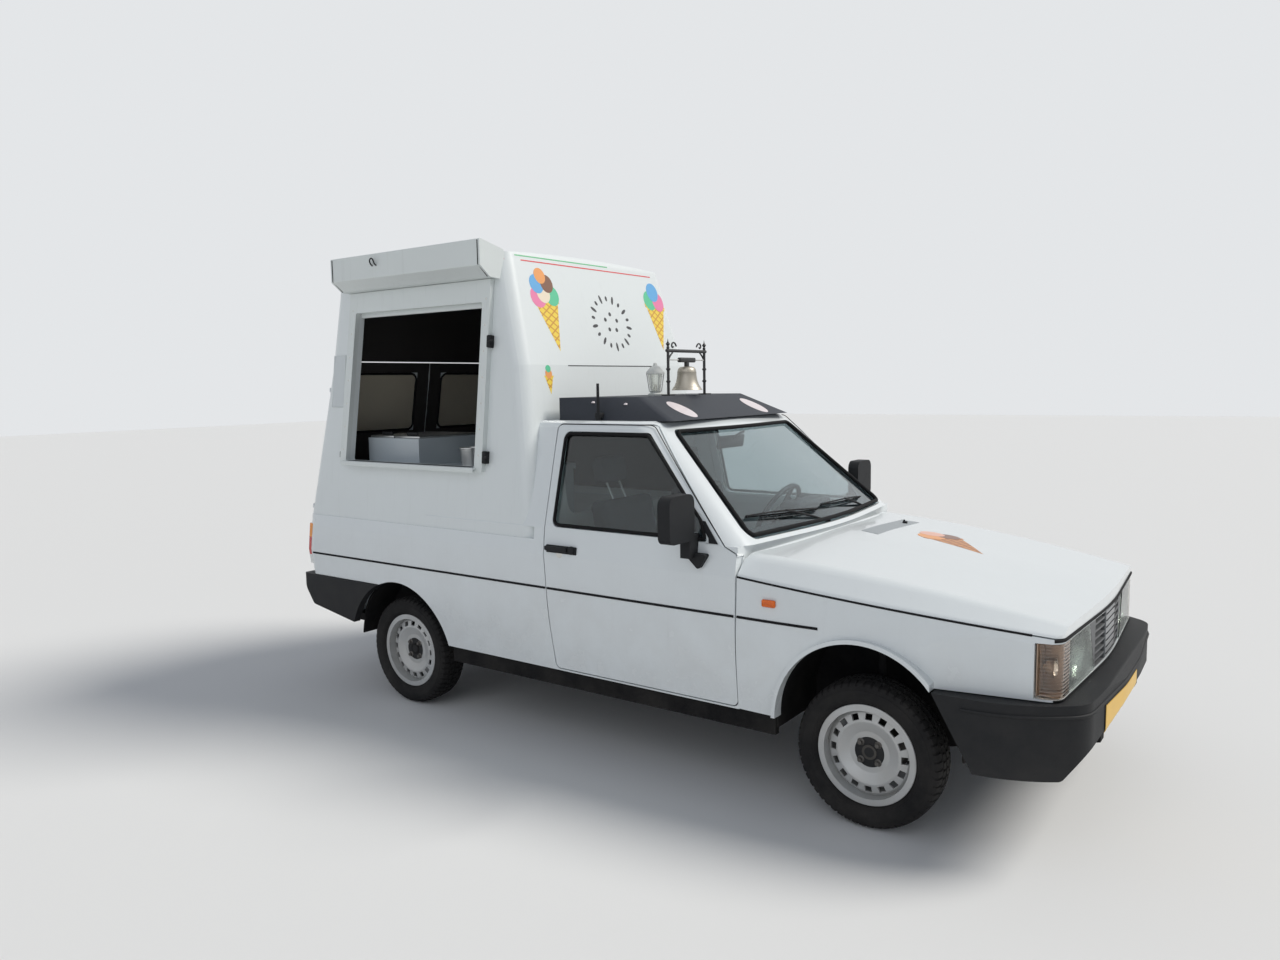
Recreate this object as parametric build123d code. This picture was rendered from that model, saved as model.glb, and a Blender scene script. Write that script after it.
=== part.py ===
from build123d import *
import math
import os

os.makedirs("parts", exist_ok=True)

# Small delivery van with a raised vending box: millimetres, +X to the nose, +Y to its left, ground at z = 0
wheelbase = 2580
front_overhang = 785
rear_overhang = 815
overall_length = front_overhang + wheelbase + rear_overhang
front_axle_x = overall_length / 2 - front_overhang
rear_axle_x = front_axle_x - wheelbase
panel_gap = 5

# Wheels and tyres
tyre_radius = 286
tyre_width = 165
tyre_tread_width = 134
wheel_y = 668
rim_seat_radius = 178
rim_flange_radius = 195
rim_seat_width = 114
rim_wall = 8
flange_thickness = 7
hub_bore_radius = 30
hub_bore_clearance = 1
vent_slots = 16
vent_radius = 141
vent_length = 28
vent_width = 24

# Sides of the body, as heights and half widths of its section
sill_z = 380
sill_half = 785
waist_z = 640
waist_half = 811
crease_z = 920
crease_half = 804
belt_z = 1040
belt_half = 786
body_wall = 45

# Cab above the belt
cab_top_z = 1525
cab_top_half = 643
cab_wall = 30
cab_corner_x = front_axle_x - 505
cab_front_x = front_axle_x - 412
cab_top_corner_x = front_axle_x - 1042
cab_top_front_x = front_axle_x - 986
cab_corner_radius = 110
screen_curve_radius = 2600
roof_edge = 30
cab_back_x = front_axle_x - 2350
glass_depth = 9
glass_thickness = 5
screen_low_z = 1054
screen_top_z = 1487
screen_low_half = 698
screen_top_half = 542

# Cab doors, seen from the side
door_front_x = front_axle_x - 520
door_rear_x = front_axle_x - 1531
door_low_rear_x = front_axle_x - 1483
door_top_rear_x = front_axle_x - 1555
door_low_z = 392
door_top_z = 1508
window_low_z = 1048
window_top_z = 1478
window_radius = 35

# Nose: bonnet, wings and the face that carries the lamps
bonnet_line_rear_z = 924
bonnet_line_slope = 0.0884
bonnet_wall = 25
bonnet_rear_gap = 20
wing_wall = 40
nose_face_x = front_axle_x + 707
nose_corner_x = front_axle_x + 668
nose_corner_half = 697
nose_corner_radius = 60
lamp_zone_x = front_axle_x + 585
lamp_low_z = 611
lamp_top_z = 803
lamp_inner_low_y = 250
lamp_inner_top_y = 335
lamp_outer_y = 590
lamp_depth = 80
lamp_pillar = 30
grille_bar_half = 92
grille_slat_end_y = 235
grille_slats = 7
grille_slat_height = 8
grille_depth = 22
front_arch_radius = 340
front_arch_z = 390
arch_lip = 16
wheelhouse_clearance = 12
wheelhouse_wall = 8
front_house_y = 420
rear_house_y = 560

# Bumpers
front_bumper_low_z = 338
front_bumper_top_z = 600
rear_bumper_low_z = 394
rear_bumper_top_z = 641
bumper_wall = 40
bumper_shelf = 95
bumper_half = 815
rear_bumper_radius = 45

# Rear body and vending box
seam_z = 985
box_overhang = 4
box_half = belt_half + box_overhang
box_top_half = 662
box_top_z = 2370
box_crown = 35
box_eaves_z = box_top_z - box_crown
box_wall = 30
box_front_x = front_axle_x - 1601
box_bend_z = 1790
box_front_bend_x = front_axle_x - 1722
box_front_top_x = front_axle_x - 1885
box_rear_x = rear_axle_x - 770
box_rear_bend_x = rear_axle_x - 620
box_rear_top_x = rear_axle_x - 560
box_corner_radius = 75
roof_front_radius = 60
rear_arch_radius = 375
rear_arch_z = 295
tail_low_x = rear_axle_x - 752
tail_belly_x = rear_axle_x - 783
tail_low_z = 645
tail_belly_z = 780
passage_half = 520
passage_low_z = 1060
passage_top_z = 1455

tail_lamp_low_z = 700
tail_lamp_top_z = 930
tail_lamp_edge = 6
tail_lamp_width = 40
tail_lamp_slant = 8
tail_lamp_proud = 12

# Rear doors
rear_door_low_z = 664
rear_door_top_z = 1845
rear_post_width = 62
blank_low_z = 1430
blank_top_z = 1780
blank_inner_y = 95
blank_outer_y = 575
blank_pocket = 5
valance_half = 660
valance_wall = 30
hinge_low_z = 1040
hinge_high_z = 1700
hinge_standoff = 12
hinge_radius = 8
hinge_reach = 30
hinge_leaf = 34
hinge_plate = 6
hinge_sunk = 2
door_slant = 23
door_slant_lead = 18
door_slant_run = 78

# Serving hatch in the right wall, with its roller shutter wound up
hatch_rear_x = rear_axle_x - 400
hatch_rear_top_x = rear_axle_x - 350
hatch_front_x = front_axle_x - 1985
hatch_front_top_x = front_axle_x - 1967
hatch_low_z = 1301
hatch_top_z = 2095
rail_width = 52
rail_depth = 28
housing_rise = 13
housing_height = 180
housing_top_z = box_top_z + housing_rise
housing_low_z = housing_top_z - housing_height
housing_outer_y = 800
housing_inner_y = 640
housing_overlap = 30

# Floor and running gear
floor_low_z = 330
floor_top_z = 372
floor_half = 738
tail_floor_half = 560
rocker_low_z = 300
rocker_outer_y = 768
steer_axis_y = 562
kingpin_radius = 17
drum_radius = 105
beam_radius = 30
spring_y = 480
spring_width = 60
spring_half_length = 560
spring_leaf = 16
arm_low_z = 168
arm_top_z = 190
strut_low_z = tyre_radius + 116
cross_height = 70
tow_eye_radius = 15
tow_plate = 16
tow_z = 300
tow_front_x = front_axle_x + 620
rail_inner_y = 340
rail_end_x = front_axle_x + front_overhang - 40

# Roof deflector, bell and its stand
deflector_top_z = 1631
deflector_rear_x = front_axle_x - 1625
deflector_front_x = front_axle_x - 977
deflector_top_front_x = front_axle_x - 1210
deflector_half = 560
deflector_top_half = 463
bell_x = front_axle_x - 1262
bell_mouth_radius = 78
bell_height = 118
bell_mouth_z = 1656
bell_axis_z = 1806
stand_half = 165
stand_post_radius = 7
stand_top_z = 1850

# Mirrors and steering wheel
mirror_x = front_axle_x - 753
mirror_inner_y = 822
mirror_outer_y = 1000
mirror_low_z = 1060
mirror_high_z = 1251
mirror_depth = 58
steering_x = front_axle_x - 935
steering_y = 345
steering_z = 1000
steering_tilt = 28
steering_radius = 190
grip_radius = 13
boss_radius = 50
boss_depth = 40
column_radius = 26
mirror_foot_z = mirror_low_z - 123
mirror_foot_top_z = mirror_low_z - 56
mirror_foot_y = 822

# Dashboard and seats
dash_low_z = 700
dash_inset = 72
seat_inner_y = 115
seat_outer_y = 565
seat_low_z = 560
seat_top_z = 690
seat_back_z = 1180
seat_base_z = 600
seat_base_inset = 35
headrest_inner_y = 230
headrest_outer_y = 450
headrest_low_z = 1200
headrest_top_z = 1350

# Counter, engine, tank and exhaust
counter_drop = 30
counter_depth = 560
counter_overhang = 20
freezer_height = 145
freezer_rear_gap = 5
freezer_length = 420
engine_rear_x = front_axle_x - 190
engine_front_x = front_axle_x + 330
engine_right_y = -330
engine_left_y = 300
engine_top_z = front_arch_z + 420
tank_rear_x = rear_axle_x + 560
tank_length = 500
tank_inner_y = 130
tank_outer_y = 600
tank_height = 140
exhaust_y = -210
pipe_radius = 22
pipe_z = 222
pipe_start_z = 285
silencer_half = 110
silencer_low_z = 170
silencer_top_z = 275
silencer_rear_x = rear_axle_x - 680
silencer_front_x = rear_axle_x - 390

# Subframe and springs
cross_half_length = 70
cross_half = 420
arm_half_length = 60
arm_inner_y = 400
rail_height = 70
rail_thickness = 60
spring_radius = 2400
spring_pad_half = 45
spring_block = 25


def outline(rows, place):
    """Closed wire through corners (u, v, radius), each corner rounded by a tangent arc of its radius."""
    edges = []
    joints = []
    for i, (u, v, radius) in enumerate(rows):
        before = rows[i - 1]
        after = rows[(i + 1) % len(rows)]
        if radius <= 0:
            joints.append(((u, v), None, (u, v)))
            continue
        back = Vector(before[0] - u, before[1] - v).normalized()
        ahead = Vector(after[0] - u, after[1] - v).normalized()
        half_turn = math.radians(back.get_angle(ahead)) / 2
        cut = radius / math.tan(half_turn)
        middle = (back + ahead).normalized()
        reach = radius / math.sin(half_turn) - radius
        start = (u + back.X * cut, v + back.Y * cut)
        crown = (u + middle.X * reach, v + middle.Y * reach)
        end = (u + ahead.X * cut, v + ahead.Y * cut)
        joints.append((start, crown, end))
    for i, (start, crown, end) in enumerate(joints):
        last = joints[i - 1][2]
        if math.dist(last, start) > 0.001:
            edges.append(Edge.make_line(place(*last), place(*start)))
        if crown:
            edges.append(Edge.make_three_point_arc(place(*start), place(*crown), place(*end)))
    return Wire(edges)


def inset(rows, distance):
    """Rows (u, v, radius) of a counter-clockwise outline moved inwards, or outwards by less than 0."""
    moved = []
    for i, (u, v, radius) in enumerate(rows):
        before = rows[i - 1]
        after = rows[(i + 1) % len(rows)]
        first = Vector(u - before[0], v - before[1]).normalized()
        second = Vector(after[0] - u, after[1] - v).normalized()
        left = Vector(-first.Y - second.Y, first.X + second.X)
        scale = distance / (1 + first.dot(second))
        convex = first.X * second.Y - first.Y * second.X > 0
        new_radius = max(radius - distance if convex else radius + distance, 1) if radius > 0 else 0
        moved.append((u + left.X * scale, v + left.Y * scale, new_radius))
    return moved


def side(rows, y0, y1):
    """Prism across the van from a side view, rows (x, z, radius)."""
    face = Face(outline(rows, lambda x, z: (x, y0, z)))
    return Part() + Solid.extrude(face, (0, y1 - y0, 0))


def front(rows, x0, x1):
    """Prism along the van from a front view, rows (y, z, radius)."""
    face = Face(outline(rows, lambda y, z: (x0, y, z)))
    return Part() + Solid.extrude(face, (x1 - x0, 0, 0))


def plan(rows, z0, z1):
    """Upright prism from a plan view, rows (x, y, radius)."""
    face = Face(outline(rows, lambda x, y: (x, y, z0)))
    return Part() + Solid.extrude(face, (0, 0, z1 - z0))


def block(x0, x1, y0, y1, z0, z1):
    return plan([(x0, y0, 0), (x1, y0, 0), (x1, y1, 0), (x0, y1, 0)], z0, z1)


def rod(start, end, radius):
    """Round bar between two points."""
    run = Vector(*end) - Vector(*start)
    return Part() + Solid.make_cylinder(radius, run.length, Plane(origin=start, z_dir=run))


def turned(rows):
    """Ring turned about the Y axis from rows (y, distance from the axis, radius)."""
    face = Face(outline(rows, lambda y, r: (0, y, r)))
    return Part() + Solid.revolve(face, 360, Axis.Y)


def mirrored(shape):
    return mirror(shape, about=Plane.XZ)


def both(shape):
    return Part(children=[]) + shape + mirrored(shape)


def save(name, shape):
    export_step(shape, f"parts/{name}.step")


def symmetric(half):
    """Front-view rows of a whole section from its left half, listed upwards from the lower edge."""
    right = [(-y, z, radius) for y, z, radius in reversed(half) if y > 0]
    return half + right


far = 3 * overall_length

# Sides of the body below the belt
side_half = [(sill_half, sill_z, 0), (waist_half, waist_z, 1500), (crease_half, crease_z, 12),
             (belt_half, belt_z, 0)]
side_rows = symmetric(side_half)


def body_prism(wall, x0, x1):
    solid = front(inset(side_rows, wall), x0, x1)
    if wall:
        solid = solid + block(x0, x1, wall - sill_half, sill_half - wall, -far, sill_z + wall + 1)
        solid = solid + block(x0, x1, wall - belt_half, belt_half - wall, belt_z - wall - 1, far)
    return solid


firewall_x = door_front_x + panel_gap
tub = body_prism(0, tail_belly_x - 100, firewall_x)
tub_hollow = body_prism(body_wall, -far, firewall_x - cab_wall)
tub_shell = tub - tub_hollow


# Cab above the belt: level outlines at the belt and at the roof, joined by straight lines
def cab_solid(depth):
    low = [(cab_back_x, -belt_half), (cab_corner_x, -belt_half), (cab_front_x, 0), (cab_corner_x, belt_half),
           (cab_back_x, belt_half)]
    top = [(cab_back_x, -cab_top_half), (cab_top_corner_x, -cab_top_half), (cab_top_front_x, 0),
           (cab_top_corner_x, cab_top_half), (cab_back_x, cab_top_half)]
    radii = [0, cab_corner_radius, screen_curve_radius, cab_corner_radius, 0]
    levels = [(belt_z, depth), (cab_top_z - depth, depth)]
    if depth == 0:
        levels = [(belt_z, 0), (cab_top_z - roof_edge, 0), (cab_top_z - 0.3 * roof_edge, 0.25 * roof_edge),
                  (cab_top_z, 0.85 * roof_edge)]
    wires = []
    for z, drawn_in in levels:
        share = (z - belt_z) / (cab_top_z - belt_z)
        rows = [(x0 + (x1 - x0) * share, y0 + (y1 - y0) * share, r)
                for (x0, y0), (x1, y1), r in zip(low, top, radii)]
        rows = inset(rows, drawn_in)
        rows = [(cab_back_x - depth if x < cab_back_x + drawn_in + 1 else x, y, r) for x, y, r in rows]
        wires.append(outline(rows, lambda x, y, z=z: (x, y, z)))
    return Part() + Solid.make_loft(wires, ruled=True)


cab_outer = cab_solid(0)
cab_shell = cab_outer - cab_solid(cab_wall)

# Vending box: side view and front view crossed, upright corners rounded
box_side_rows = [(box_front_x, seam_z, 0), (box_front_bend_x, box_bend_z, 0),
                 (box_front_top_x, box_top_z, roof_front_radius),
                 (box_rear_top_x, box_top_z, roof_front_radius),
                 (box_rear_bend_x, box_bend_z, 0), (box_rear_x, seam_z, 0)]
box_rows = symmetric([(box_half, seam_z, 0), (box_top_half, box_eaves_z, 45), (0, box_top_z, 9000)])
box_lean = (box_half - box_top_half) / (box_eaves_z - seam_z)
box_middle_x = (box_front_x + box_rear_x) / 2


def box_side_y(z):
    return box_half - (z - seam_z) * box_lean


def box_upright(depth):
    """Box walls lofted through level outlines with rounded corners."""
    wires = []
    levels = [(seam_z, box_front_x, box_rear_x), (box_bend_z, box_front_bend_x, box_rear_bend_x),
              (box_top_z, box_front_top_x, box_rear_top_x)]
    for z, front_x, rear_x in levels:
        half = box_side_y(z)
        corners = [(rear_x, -half), (front_x, -half), (front_x, half), (rear_x, half)]
        rows = inset([(x, y, box_corner_radius) for x, y in corners], depth)
        wires.append(outline(rows, lambda x, y, z=z: (x, y, z)))
    return Part() + Solid.make_loft(wires, ruled=True)


box_outer = box_upright(0) & side(box_side_rows, -far, far) & front(box_rows, -far, far)
inner_low = block(box_rear_x + box_wall, box_front_x - box_wall, -far, far, -far, seam_z + box_wall + 1)
inner_slice = side(inset(box_side_rows, box_wall), -far, far) + inner_low
inner_room = block(-far, far, box_wall - box_half, box_half - box_wall, -far, seam_z + box_wall + 1)
box_hollow = inner_slice & (front(inset(box_rows, box_wall), -far, far) + inner_room)
box_skin = box_outer - box_hollow
box_inner_top = box_top_z - box_wall

# Serving hatch
hatch_rows = [(hatch_rear_x, hatch_low_z, 10), (hatch_front_x, hatch_low_z, 10),
              (hatch_front_top_x, hatch_top_z, 10), (hatch_rear_top_x, hatch_top_z, 10)]
hatch_cut = side(hatch_rows, -far, 0)

eaves_cut = block(-far, far, -far, far, box_inner_top - 45, far)
end_skin = (box_outer - inner_slice) - eaves_cut
side_skin = (box_skin & inner_slice) - eaves_cut
save("box_side_right", (side_skin & block(-far, far, -far, 0, 0, far)) - hatch_cut)
save("box_side_left", side_skin & block(-far, far, 0, far, 0, far))
save("box_roof", box_skin & eaves_cut)

# Front wall of the box with the passage from the cab, and the half-height bulkhead below it
passage = front([(-passage_half, passage_low_z, 60), (passage_half, passage_low_z, 60),
                 (passage_half, passage_top_z, 60), (-passage_half, passage_top_z, 60)], -far, far)
bulkhead = block(box_front_x - box_wall, box_front_x, -floor_half, floor_half, floor_top_z, seam_z)
bulkhead = bulkhead & body_prism(body_wall, -far, far)
front_wall = (end_skin & block(box_middle_x, far, -far, far, 0, far)) - passage
save("box_front", front_wall + bulkhead)

# Rear wall: one bent face from the lower tail to the raised roof, with the opening for two doors
tail_rows = [(tail_low_x, tail_low_z, 0), (tail_low_x + body_wall, tail_low_z, 0),
             (box_rear_x + body_wall, seam_z, 0), (box_rear_x, seam_z, 0), (tail_belly_x, tail_belly_z, 200)]


def body_side_y(z):
    """Half width of the lower body at height z, by straight lines between its levels."""
    for (half, low_z, _), (next_half, high_z, _) in zip(side_half, side_half[1:]):
        if z <= high_z:
            return half + (next_half - half) * (z - low_z) / (high_z - low_z)
    return belt_half


def tail_solid(proud):
    """Lower body with rounded rear corners, its sides moved outwards by proud."""
    wires = []
    for z, rear_x in [(sill_z, tail_low_x), (tail_low_z, tail_low_x), (tail_belly_z, tail_belly_x),
                      (seam_z, box_rear_x)]:
        half = body_side_y(z)
        rows = inset([(rear_x, -half, box_corner_radius), (rear_axle_x, -half, 0), (rear_axle_x, half, 0),
                      (rear_x, half, box_corner_radius)], -proud)
        wires.append(outline(rows, lambda x, y, z=z: (x, y, z)))
    return Part() + Solid.make_loft(wires, ruled=True)


tail_edge = block(-far, tail_low_x + box_corner_radius, waist_half - 2 * box_corner_radius, far,
                  sill_z + 1, seam_z) - tail_solid(0)
tail_wall = (side(tail_rows, -far, far) & tub) - both(tail_edge)
valance_x = rear_axle_x - rear_overhang + bumper_shelf
valance_rows = [(valance_x, tail_low_z, 0), (tail_low_x + body_wall - 8, tail_low_z, 0),
                (tail_low_x + body_wall - 8, rear_door_low_z - 4, 0),
                (valance_x + valance_wall, rear_door_low_z - 4, 0),
                (valance_x + valance_wall, floor_top_z, 0), (valance_x, floor_top_z, 0)]
valance = side(valance_rows, -valance_half, valance_half)
rear_wall = tail_wall + valance + (end_skin & block(-far, box_middle_x, -far, far, 0, far))


def rear_opening(gap, y_start):
    """Front-view prism of the left door opening, drawn in by gap, from y_start to the rear post."""
    low_y = box_side_y(rear_door_low_z) - rear_post_width - gap
    bend_y = box_side_y(rear_door_top_z) - rear_post_width - gap
    rows = [(y_start, rear_door_low_z + gap, 0), (low_y, rear_door_low_z + gap, 0),
            (bend_y, rear_door_top_z - gap, 0), (y_start, rear_door_top_z - gap, 0)]
    return front(rows, -far, box_middle_x)


blank_rows = [(blank_inner_y, blank_low_z, 50), (blank_outer_y, blank_low_z, 50),
              (blank_outer_y, blank_top_z, 50), (blank_inner_y, blank_top_z, 50)]
blank_zone = front(blank_rows, -far, box_middle_x)
core_rows = [(box_rear_x + blank_pocket, seam_z, 0), (box_rear_bend_x + blank_pocket, box_bend_z, 0),
             (box_rear_top_x + blank_pocket, box_top_z, 0),
             (box_rear_top_x + box_wall - blank_pocket, box_top_z, 0),
             (box_rear_bend_x + box_wall - blank_pocket, box_bend_z, 0),
             (box_rear_x + box_wall - blank_pocket, seam_z, 0)]
core_rows.reverse()
door_core = side(core_rows, -far, far)
rear_door = rear_wall & rear_opening(panel_gap, panel_gap / 2)
rear_door = rear_door - (blank_zone - door_core)
# Inside, the free edges slant away below the seam, so that their corners swing past the other door
slant_start_x = tail_low_x - door_slant_lead
slant_rows = [(slant_start_x, 0, 0), (slant_start_x + door_slant_run, 0, 0),
              (slant_start_x + door_slant_run, panel_gap / 2 + door_slant, 0),
              (slant_start_x, panel_gap / 2, 0)]
rear_door = rear_door - plan(slant_rows, rear_door_low_z, seam_z)


def rear_face_x(z):
    """Outer face of the rear wall between the belly and the bend."""
    if z < seam_z:
        return tail_belly_x + (box_rear_x - tail_belly_x) * (z - tail_belly_z) / (seam_z - tail_belly_z)
    return box_rear_x + (box_rear_bend_x - box_rear_x) * (z - seam_z) / (box_bend_z - seam_z)


def hinge_point(z):
    return Vector(rear_face_x(z) - hinge_standoff, box_side_y(z) - rear_post_width - panel_gap / 2, z)


def hinge_half(z, side_sign):
    """One barrel and its plate: below the middle and outwards for +1, above it and inwards for -1."""
    centre = hinge_point(z)
    along = (hinge_point(hinge_high_z) - hinge_point(hinge_low_z)).normalized() * -side_sign
    barrel = rod(tuple(centre + along), tuple(centre + along * hinge_reach), hinge_radius)
    low, high = sorted([z - side_sign * 3, z - side_sign * (hinge_reach - 3)])
    rows = [(rear_face_x(low) + hinge_sunk, low, 0), (rear_face_x(high) + hinge_sunk, high, 0),
            (rear_face_x(high) - hinge_plate, high, 0),
            (rear_face_x(low) - hinge_plate, low, 0)]
    ends = sorted([centre.Y + side_sign, centre.Y + side_sign * hinge_leaf])
    return barrel + side(rows, ends[0], ends[1])


fixed_hinges = Part()
for z in (hinge_low_z, hinge_high_z):
    fixed_hinges = fixed_hinges + hinge_half(z, 1)
    rear_door = rear_door + hinge_half(z, -1)
save("rear_door_left", rear_door)
save("rear_door_right", mirrored(rear_door))
save("rear_frame", (rear_wall - both(rear_opening(0, -1))) + both(fixed_hinges))

# Lower sides behind the cab doors, with the rear wheel arches
seam_cut = block(-far, box_front_x, -far, far, seam_z, far)
door_rows = [(door_front_x, door_low_z, 25), (door_front_x, belt_z - 30, 12),
             (door_front_x - 60, belt_z - 4, 25), (cab_top_corner_x + 9, door_top_z, 50),
             (door_top_rear_x, door_top_z, 25),
             (door_rear_x, crease_z, 500), (door_low_rear_x, door_low_z, 25)]
door_inner_y = cab_top_half - cab_wall - 25
door_zone = side(door_rows, door_inner_y, far)
door_opening = side(inset(door_rows, -panel_gap), door_inner_y, far)
inside_body = body_prism(body_wall, -far, far)
window_rows = [(door_front_x - 140, window_low_z, 10), (door_front_x - 178, window_low_z + 84, 10),
               (cab_top_corner_x + 6, window_top_z, window_radius),
               (door_top_rear_x + 44, window_top_z, window_radius),
               (door_rear_x + 34, window_low_z, window_radius)]
window_zone = side(window_rows, 0, far)
rear_arch = rod((rear_axle_x, -far, rear_arch_z), (rear_axle_x, far, rear_arch_z), rear_arch_radius)
rear_arch = rear_arch + block(rear_axle_x - rear_arch_radius, rear_axle_x + rear_arch_radius, -far, far,
                              -far, rear_arch_z)
rear_bumper_room = block(-far, rear_axle_x, -far, far, -far, rear_bumper_top_z + 2)
flank = tub_shell & block(box_rear_x + body_wall, door_rear_x + 60, 0, far, 0, far)
flank = flank - door_opening - seam_cut - rear_arch - rear_bumper_room
flank = flank - side(tail_rows, -far, far) - block(box_front_x, far, 0, far, seam_z, far) - tail_edge
save("lower_sides", both(flank))

# Cab frame: pillars, roof, sills under the doors, firewall and cowl
pillar = (tub_shell & block(door_rear_x - 80, far, 0, far, 0, far)) - flank - seam_cut
pillar = pillar - (door_opening - inside_body)
cab_part = cab_shell - box_outer
cowl_rows = [(firewall_x - cab_wall, 60 - belt_half, 0), (cab_corner_x - 20, 60 - belt_half, 12),
             (cab_front_x + 6, 0, 2400), (cab_corner_x - 20, belt_half - 60, 12),
             (firewall_x - cab_wall, belt_half - 60, 0)]
cowl = plan(cowl_rows, belt_z - 95, belt_z)
screen_rows = [(-screen_low_half, screen_low_z, 40), (screen_low_half, screen_low_z, 40),
               (screen_top_half, screen_top_z, 50), (-screen_top_half, screen_top_z, 50)]
screen_zone = front(screen_rows, door_top_rear_x + 300, far)
cab_frame = (cab_part - door_opening - mirrored(door_opening) - screen_zone) + both(pillar) + cowl
save("cab_frame", cab_frame)
glass_shell = cab_solid(glass_depth) - cab_solid(glass_depth + glass_thickness)
save("windscreen", glass_shell & screen_zone)

# Cab doors with their glass and mirrors
door = ((tub - inside_body) & door_zone) + (cab_part & door_zone)
door = door - window_zone
door_glass = glass_shell & window_zone
save("door_left", door)
save("door_right", mirrored(door))
save("door_glass_left", door_glass)
save("door_glass_right", mirrored(door_glass))
mirror_rows = [(mirror_inner_y, mirror_low_z, 30), (mirror_outer_y, mirror_low_z, 30),
               (mirror_outer_y, mirror_high_z, 40), (mirror_inner_y, mirror_high_z, 40)]
mirror_body = front(mirror_rows, mirror_x, mirror_x + mirror_depth)
foot_rows = [(mirror_x, mirror_foot_top_z, 8), (mirror_x + 72, mirror_foot_z, 12),
             (mirror_x + 112, mirror_foot_top_z, 8)]
mirror_foot = side(foot_rows, belt_half - 20, mirror_foot_y)
mirror_stalk = block(mirror_x + 6, mirror_x + mirror_depth - 6, belt_half - 20, mirror_inner_y + 30,
                     mirror_foot_top_z - 18, mirror_low_z + 20)
mirror_arm = (mirror_foot + mirror_stalk) - cab_outer - tub
save("mirror_left", mirror_body + mirror_arm)
save("mirror_right", mirrored(mirror_body + mirror_arm))

# Nose shell, lofted through three sections from the door to the lamps
nose_table = [
    # x, sill half, waist half, shoulder half, shoulder z, top half, top z, crown z
    (firewall_x, 785, 811, 798, 932, 715, 1008, 1036),
    (front_axle_x, 778, 806, 785, 888, 690, 962, 992),
    (front_axle_x + 740, 676, 700, 674, 822, 612, 838, 856),
]


def nose_solid(depth):
    wires = []
    for x, sill, waist, shoulder, shoulder_z, top, top_z, crown_z in nose_table:
        half = [(sill, floor_low_z, 0), (waist, waist_z, 1200), (shoulder, shoulder_z, 25), (top, top_z, 90),
                (0, crown_z, 5000)]
        rows = inset(symmetric(half), depth)
        rows = [(y, z - 3 * depth if z < waist_z - 100 else z, r) for y, z, r in rows]
        start = x - depth if x == firewall_x else x
        wires.append(outline(rows, lambda y, z, x=start: (x, y, z)))
    solid = Part() + Solid.make_loft(wires)
    face_rows = [(door_rear_x, -far, 0), (front_axle_x, -waist_half - 4, 0),
                 (nose_corner_x, -nose_corner_half, nose_corner_radius), (nose_face_x, 0, 3500),
                 (nose_corner_x, nose_corner_half, nose_corner_radius), (front_axle_x, waist_half + 4, 0),
                 (door_rear_x, far, 0)]
    return solid & plan(inset(face_rows, depth), -far, far)


def bonnet_line(x):
    return bonnet_line_rear_z - (x - door_front_x) * bonnet_line_slope


nose_outer = nose_solid(0)
end_x = front_axle_x + front_overhang
under_line = side([(0, -far, 0), (end_x, -far, 0), (end_x, bonnet_line(end_x) - panel_gap / 2, 0),
                   (0, bonnet_line(0) - panel_gap / 2, 0)], -far, far)
over_line = side([(0, bonnet_line(0) + panel_gap / 2, 0), (end_x, bonnet_line(end_x) + panel_gap / 2, 0),
                  (end_x, far, 0), (0, far, 0)], -far, far)
cowl_room = plan(inset(cowl_rows, -bonnet_rear_gap), -far, far)
cab_room = block(-far, firewall_x + 2, -far, far, -far, far)
bonnet = ((nose_outer - nose_solid(bonnet_wall)) & over_line) - cowl_room - cab_room
save("bonnet", bonnet)
front_arch = rod((front_axle_x, -far, front_arch_z), (front_axle_x, far, front_arch_z), front_arch_radius)
front_arch = front_arch + block(front_axle_x - front_arch_radius, front_axle_x + front_arch_radius, -far, far,
                                -far, front_arch_z)
wing_hollow = nose_solid(wing_wall)
fender = ((nose_outer - wing_hollow) & under_line) - block(-far, far, -far, far, -far, sill_z + 5)
fender = fender - block(front_axle_x, far, -far, far, -far, front_bumper_top_z + 4)
lip = rod((front_axle_x, waist_half - 60, front_arch_z), (front_axle_x, waist_half + 6, front_arch_z),
          front_arch_radius + arch_lip)
lip = lip & block(-far, far, 0, far, front_arch_z - 4, far)
lip = lip & block(-far, front_axle_x + front_arch_radius * 0.78, 0, far, 0, far)
wing = (fender & block(firewall_x, lamp_zone_x, 0, far, 0, far)) + (lip - wing_hollow)
wing = wing - front_arch - block(-far, firewall_x, -far, far, -far, far)
save("front_wings", both(wing))

# Nose panel with room for the lamps and the grille
lamp_room = front([(lamp_inner_low_y, lamp_low_z, 0), (far, lamp_low_z, 0), (far, lamp_top_z, 0),
                   (lamp_inner_top_y, lamp_top_z, 0)], lamp_zone_x, far)
grille_room = front([(-lamp_inner_low_y, lamp_low_z, 0), (lamp_inner_low_y, lamp_low_z, 0),
                     (lamp_inner_top_y, lamp_top_z, 0), (-lamp_inner_top_y, lamp_top_z, 0)],
                    lamp_zone_x, far)
pillar_y = lamp_inner_low_y - lamp_pillar
lamp_pillars = both(block(lamp_zone_x, far, pillar_y, lamp_inner_low_y, 0, far))
lamp_pillars = lamp_pillars & nose_solid(6 + grille_depth)
nose_panel = (fender & block(lamp_zone_x, far, -far, far, 0, far)) - both(lamp_room)
nose_panel = nose_panel - (grille_room - lamp_pillars)
save("nose_panel", nose_panel)
lamp_shell = nose_solid(3) - nose_solid(lamp_depth)
lamp = lamp_shell & lamp_room & under_line
main_lamp = lamp & block(0, far, 0, lamp_outer_y, 0, far)
turn_lamp = lamp & block(0, far, lamp_outer_y + 2, far, 0, far)
save("headlamps", both(main_lamp))
save("indicators", both(turn_lamp))
grille_band = (nose_solid(6) - nose_solid(6 + grille_depth)) & grille_room
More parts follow.
